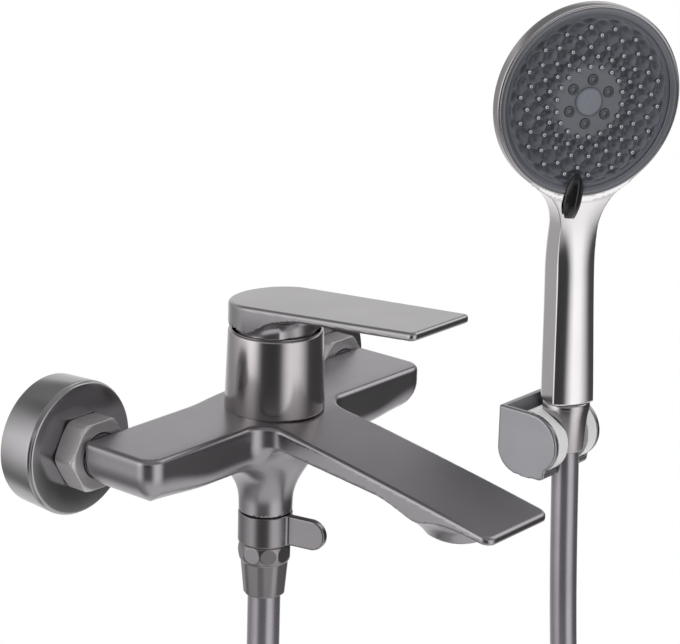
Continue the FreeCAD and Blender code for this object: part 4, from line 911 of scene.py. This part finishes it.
def fin():
    """Pointed selector grip with a raised crest, standing over the lip at the foot of the face."""
    half_length, half_width, least_half, centre, foot = 11.5, 4.7, 0.04, -47.0, 0.75
    stem_r, stem_y, stem_low, stem_steps = 2.0, -41.4, -1.6, 16
    rows, columns = 36, 14
    points, faces = [], []
    for i in range(rows + 1):
        s = -1.0 + 2.0 * i / rows
        width = half_width * ((1.0 - s * s) ** 0.6 if s > 0.0 else 1.0 - 0.45 * abs(s) ** 2.4) + least_half
        crest = foot + 0.6 + 3.6 * (1.0 - abs(s) ** 2.4) ** 0.7
        for k in range(columns + 1):
            t = -1.0 + 2.0 * k / columns
            lift = 1.0 - abs(t) ** 1.35
            points.append((t * width, centre + s * half_length, foot + (crest - foot) * (0.12 + 0.88 * lift)))
    line = columns + 1
    for i in range(rows):
        for k in range(columns):
            faces.append((i * line + k, i * line + k + 1, (i + 1) * line + k + 1, (i + 1) * line + k))
    edge = list(range(line))
    edge += [i * line + columns for i in range(1, rows + 1)]
    edge += [rows * line + k for k in range(columns - 1, -1, -1)]
    edge += [i * line for i in range(rows - 1, 0, -1)]
    floor = len(points)
    points += [(points[e][0], points[e][1], foot) for e in edge]
    for i, e in enumerate(edge):
        j = (i + 1) % len(edge)
        faces.append((e, floor + i, floor + j, edge[j]))
    faces.append(tuple(range(floor, floor + len(edge))))
    low = len(points)
    high = low + stem_steps
    for height in (stem_low, foot + 0.3):
        points += round_points(0.0, stem_y, stem_r, height, stem_steps)
    faces += band(low, high, stem_steps)
    faces += [tuple(range(low, high))[::-1], tuple(range(high, high + stem_steps))]
    obj = build("selector_fin", points, faces, "spray_head", "black",
                ("selector_tab",), SPRAY_OUT)
    tidy(obj, 55.0)


fin()
lathe("handset_nut_turned", [
    (7.1, 19.5), (11.3, 19.5, 0.4), (11.3, 17.9, 0.15), (11.1, 17.7, 0.1),
    (11.35, 17.4, 0.15), (11.4, 11.9, 1.5), (8.6, -5.3, 0.4), (7.1, -5.3),
], HELD_PLACE, "handset", "turned", ("handset_hose_nut",), 96)

# Wall bracket


def bracket_field(x, y, z):
    """Folded shell with two rounded cheeks and two screw holes, open at the top and slotted for the hose."""
    back, top, foot, ledge, half, wall = -PY - 0.3, 16.0, -18.6, -12.0, 20.0, 2.6
    disc_r, room_r, room_half, beyond = 15.8, 16.15, 17.2, 60.0
    slot_half, slot_back, slot_top = 9.0, 7.0, -11.9
    hole_x, hole_z, hole_r, hole_front = 10.0, 5.0, 2.1, 12.0
    plate = rectangle(y, z, 0.0, back, foot, top, (0.0, 13.0, 0.6, 0.0))
    hook = rectangle(y, z, -9.0, 5.0, foot, ledge, (3.5, 0.0, 0.0, 1.6))
    side = joined(np.minimum(plate, np.hypot(y, z) - disc_r), hook, 1.5)
    shell = trimmed(np.maximum(side, y - back), np.abs(x) - half, 1.1)
    inner = rectangle(y, z, -beyond, back - wall, ledge, beyond, (0.0,) * 4)
    deep = rectangle(y, z, 0.0, back - wall, foot + wall, beyond, (0.0, 10.4, 0.0, 0.0))
    inner = np.minimum(np.minimum(inner, deep), np.hypot(y, z) - room_r)
    shell = cut(shell, trimmed(inner, np.abs(x) - room_half, 0.5))
    slot = np.maximum(np.maximum(np.abs(x) - slot_half, y - slot_back), z - slot_top)
    holes = np.hypot(np.abs(x) - hole_x, z - hole_z) - hole_r
    return cut(cut(shell, slot), np.maximum(holes, hole_front - y))


shaped("bracket_folded", bracket_field, (-22.0, -18.0, -20.5), (22.0, 21.5, 18.0), 0.65, "mixer", "bracket",
       ("bracket_shell",), shift(*PIVOT))


def holder_field(x, y, z):
    """Drum on two short pins, cut for the hose nut's tapered seat and open to the front."""
    drum_r, drum_half, pin_r, pin_half, slot_half = 15.9, 16.9, 3.1, 18.0, 9.0
    around = np.hypot(y, z)
    shape = trimmed(around - drum_r, np.abs(x) - drum_half, 0.6)
    shape = np.minimum(shape, np.maximum(around - pin_r, np.abs(x) - pin_half))
    seat = np.hypot(x, y + FORWARD) - np.interp(z, (-5.3, 11.9), (8.6, 11.7))
    slot = np.maximum(np.abs(x) - slot_half, y + FORWARD)
    return cut(cut(shape, seat), slot)


shaped("holder_discs", holder_field, (-19.0, -17.0, -17.0), (19.0, 17.0, 17.0), 0.6, "holder", "white",
       ("bracket_holder",), LEAN_PLACE @ shift(*PIVOT))

# Studio

bpy.context.scene.view_settings.view_transform = "Standard"


def ramp(tree, value, stops):
    """Grey level by value; a single stop gives one level everywhere."""
    node = tree.nodes.new("ShaderNodeValToRGB")
    elements = node.color_ramp.elements
    while len(elements) > 1:
        elements.remove(elements[-1])
    for i, (where, level) in enumerate(stops):
        stop = elements[0] if i == 0 else elements.new(where)
        stop.position = where
        stop.color = (level, level, level, 1.0)
    tree.links.new(value, node.inputs["Fac"])
    return node.outputs["Color"]


def math_node(tree, kind, *values):
    node = tree.nodes.new("ShaderNodeMath")
    node.operation = kind
    for i, value in enumerate(values):
        if isinstance(value, float):
            node.inputs[i].default_value = value
        else:
            tree.links.new(value, node.inputs[i])
    return node.outputs[0]


def along(tree, direction, axis):
    node = tree.nodes.new("ShaderNodeVectorMath")
    node.operation = "DOT_PRODUCT"
    tree.links.new(direction, node.inputs[0])
    node.inputs[1].default_value = axis
    return node.outputs["Value"]


def mixed(tree, share, a, b):
    node = tree.nodes.new("ShaderNodeMix")
    node.data_type = "RGBA"
    tree.links.new(share, node.inputs["Factor"])
    tree.links.new(a, node.inputs[6])
    tree.links.new(b, node.inputs[7])
    return node.outputs[2]


def around_ramp(tree, share, stops, peak=1.0):
    """Ramp whose stops stand at degrees from the viewer's side."""
    return ramp(tree, share, [((degrees + 180.0) / 360.0, level / peak) for degrees, level in stops])


PEAK, LEFT_PEAK, GROUND, GLINT = 1.9, 1.5, 0.98, 1.55
VIEWER_SIDE, VIEWER_RIGHT = (-0.773, -0.635, 0.0), (0.6415, -0.7671, 0.0)
# Level of the soft light around the horizon, by degrees from the viewer's side toward the photo's right
AROUND = ((-180.0, 0.95), (-160.0, 0.55), (-122.0, 0.48), (-102.0, 0.60), (-84.0, 1.00), (-70.0, 1.25),
          (-56.0, 1.65), (-45.0, 1.20), (-31.0, 0.06), (13.0, 0.05), (24.0, 1.00), (34.0, 1.55), (56.0, 1.45),
          (70.0, 0.85), (86.0, 0.08), (146.0, 0.08), (158.0, 0.60), (180.0, 0.95))
# Level toward the ceiling, by the sine of the height
ABOVE = ((0.0, 0.98), (0.29, 0.92), (0.39, 1.02), (0.44, 0.82), (0.50, 0.42), (0.57, 0.28), (0.75, 0.36),
         (1.0, 0.50))
# Where the ceiling's level takes over: behind the mixer, by share of the full turn, and higher up
CEILING_AROUND = ((0.0, 1.0), (0.04, 1.0), (0.12, 0.0), (0.90, 0.0), (0.96, 1.0))
CEILING_ABOVE = ((0.18, 0.0), (0.5, 1.0))
# Where the ground's level takes over, by the sine of the depth below the horizon
GROUND_BELOW = ((0.42, 0.0), (0.72, 1.0))
# Light on the left: where it is, and its share by half of one plus the sine of the height
LEFT_AROUND = ((-128.0, 0.0), (-108.0, 1.0), (-44.0, 1.0), (-31.0, 0.0))
LEFT_PROFILE = ((0.0, 0.36), (0.16, 0.36), (0.25, 0.60), (0.355, 1.0), (0.50, 1.30), (0.58, 1.38),
                (0.68, 1.15), (0.76, 0.95), (0.83, 0.50), (0.89, 0.30), (1.0, 0.34))
# Place and heights, by the sine, of the light that draws a bright line along the front top edges
EDGE_AROUND = ((88.0, 0.0), (102.0, 1.0), (138.0, 1.0), (152.0, 0.0))
EDGE_ABOVE = ((0.30, 0.0), (0.45, 1.0), (0.80, 1.0), (0.92, 0.0))


def soft_world():
    """Light without a source in view, its level set by the direction that it comes from."""
    world = bpy.data.worlds.new("studio")
    world.use_nodes = True
    tree = world.node_tree
    where = tree.nodes.new("ShaderNodeTexCoord").outputs["Generated"]
    ahead = along(tree, where, VIEWER_SIDE)
    right = along(tree, where, VIEWER_RIGHT)
    height = along(tree, where, (0.0, 0.0, 1.0))
    angle = math_node(tree, "ARCTAN2", right, ahead)
    share = math_node(tree, "MULTIPLY_ADD", angle, 0.5 / math.pi, 0.5)
    belt = around_ramp(tree, share, AROUND, PEAK)
    up = math_node(tree, "MAXIMUM", height, 0.0)
    sky = ramp(tree, up, [(sine, level / PEAK) for sine, level in ABOVE])
    behind = ramp(tree, share, CEILING_AROUND)
    high = ramp(tree, up, CEILING_ABOVE)
    above = mixed(tree, math_node(tree, "MAXIMUM", behind, high), belt, sky)
    down = math_node(tree, "MULTIPLY", height, -1.0)
    low = ramp(tree, down, GROUND_BELOW)
    level = mixed(tree, low, above, ramp(tree, down, [(0.0, GROUND / PEAK)]))
    half_height = math_node(tree, "MULTIPLY_ADD", height, 0.5, 0.5)
    profile = ramp(tree, half_height, [(place, part / LEFT_PEAK) for place, part in LEFT_PROFILE])
    left_level = math_node(tree, "MULTIPLY", math_node(tree, "MULTIPLY", belt, profile), LEFT_PEAK)
    level = mixed(tree, around_ramp(tree, share, LEFT_AROUND), level, left_level)
    edge = math_node(tree, "MULTIPLY", around_ramp(tree, share, EDGE_AROUND), ramp(tree, up, EDGE_ABOVE))
    level = mixed(tree, edge, level, ramp(tree, up, [(0.0, GLINT / PEAK)]))
    background = tree.nodes["Background"]
    tree.links.new(level, background.inputs["Color"])
    background.inputs["Strength"].default_value = PEAK
    bpy.context.scene.world = world


def glow(name, points, faces):
    """White surface that only the camera sees, so that it adds nothing to the reflections."""
    mesh = bpy.data.meshes.new(name)
    mesh.from_pydata(points, [], faces)
    obj = added(name, mesh)
    material, _, shader = nodes_of(name)
    shader.inputs["Base Color"].default_value = (0.0, 0.0, 0.0, 1.0)
    shader.inputs["Specular IOR Level"].default_value = 0.0
    shader.inputs["Emission Color"].default_value = (1.0, 1.0, 1.0, 1.0)
    shader.inputs["Emission Strength"].default_value = 1.0
    mesh.materials.append(material)
    for kind in ("diffuse", "glossy", "transmission", "shadow", "volume_scatter"):
        setattr(obj, "visible_" + kind, False)


def studio():
    """Soft light, a plain white floor and a plain white surround."""
    soft_world()
    reach, floor_z, ceiling = 12.0, -0.53, 12.0
    corners = [(-reach, -reach), (reach, -reach), (reach, reach), (-reach, reach)]
    low = [(x, y, floor_z) for x, y in corners]
    high = [(x, y, ceiling) for x, y in corners]
    glow("floor", low, [(0, 1, 2, 3)])
    glow("surround", low + high, [(0, 1, 5, 4), (1, 2, 6, 5), (2, 3, 7, 6), (3, 0, 4, 7), (4, 5, 6, 7)])


def face_light():
    """Small soft lamp before the spray face, to its upper left, that the metal doesn't mirror."""
    data = bpy.data.lights.new("face_lamp", "SPOT")
    data.energy = 34.0
    data.shadow_soft_size = 0.12
    data.spot_size = math.radians(13.0)
    data.spot_blend = 0.5
    lamp = added("face_lamp", data)
    lamp.visible_glossy = False
    aim = HEAD_PLACE.translation
    place = HEAD_PLACE @ Vector((-430.0, -330.0, 520.0))
    lamp.location = local([place])[0]
    lamp.rotation_euler = (place - aim).to_track_quat("Z", "Y").to_euler()


studio()
face_light()
for name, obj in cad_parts.items():
    slot_name = obj.data.materials[0].name if obj.data.materials else ""
    look = next((v for k, v in SLOT_LOOKS.items() if slot_name.startswith(k)), "body")
    if name.startswith(("inlet_spigot", "wall_union")):
        look = "body"
    obj.data.materials.clear()
    obj.data.materials.append(LOOKS[look])
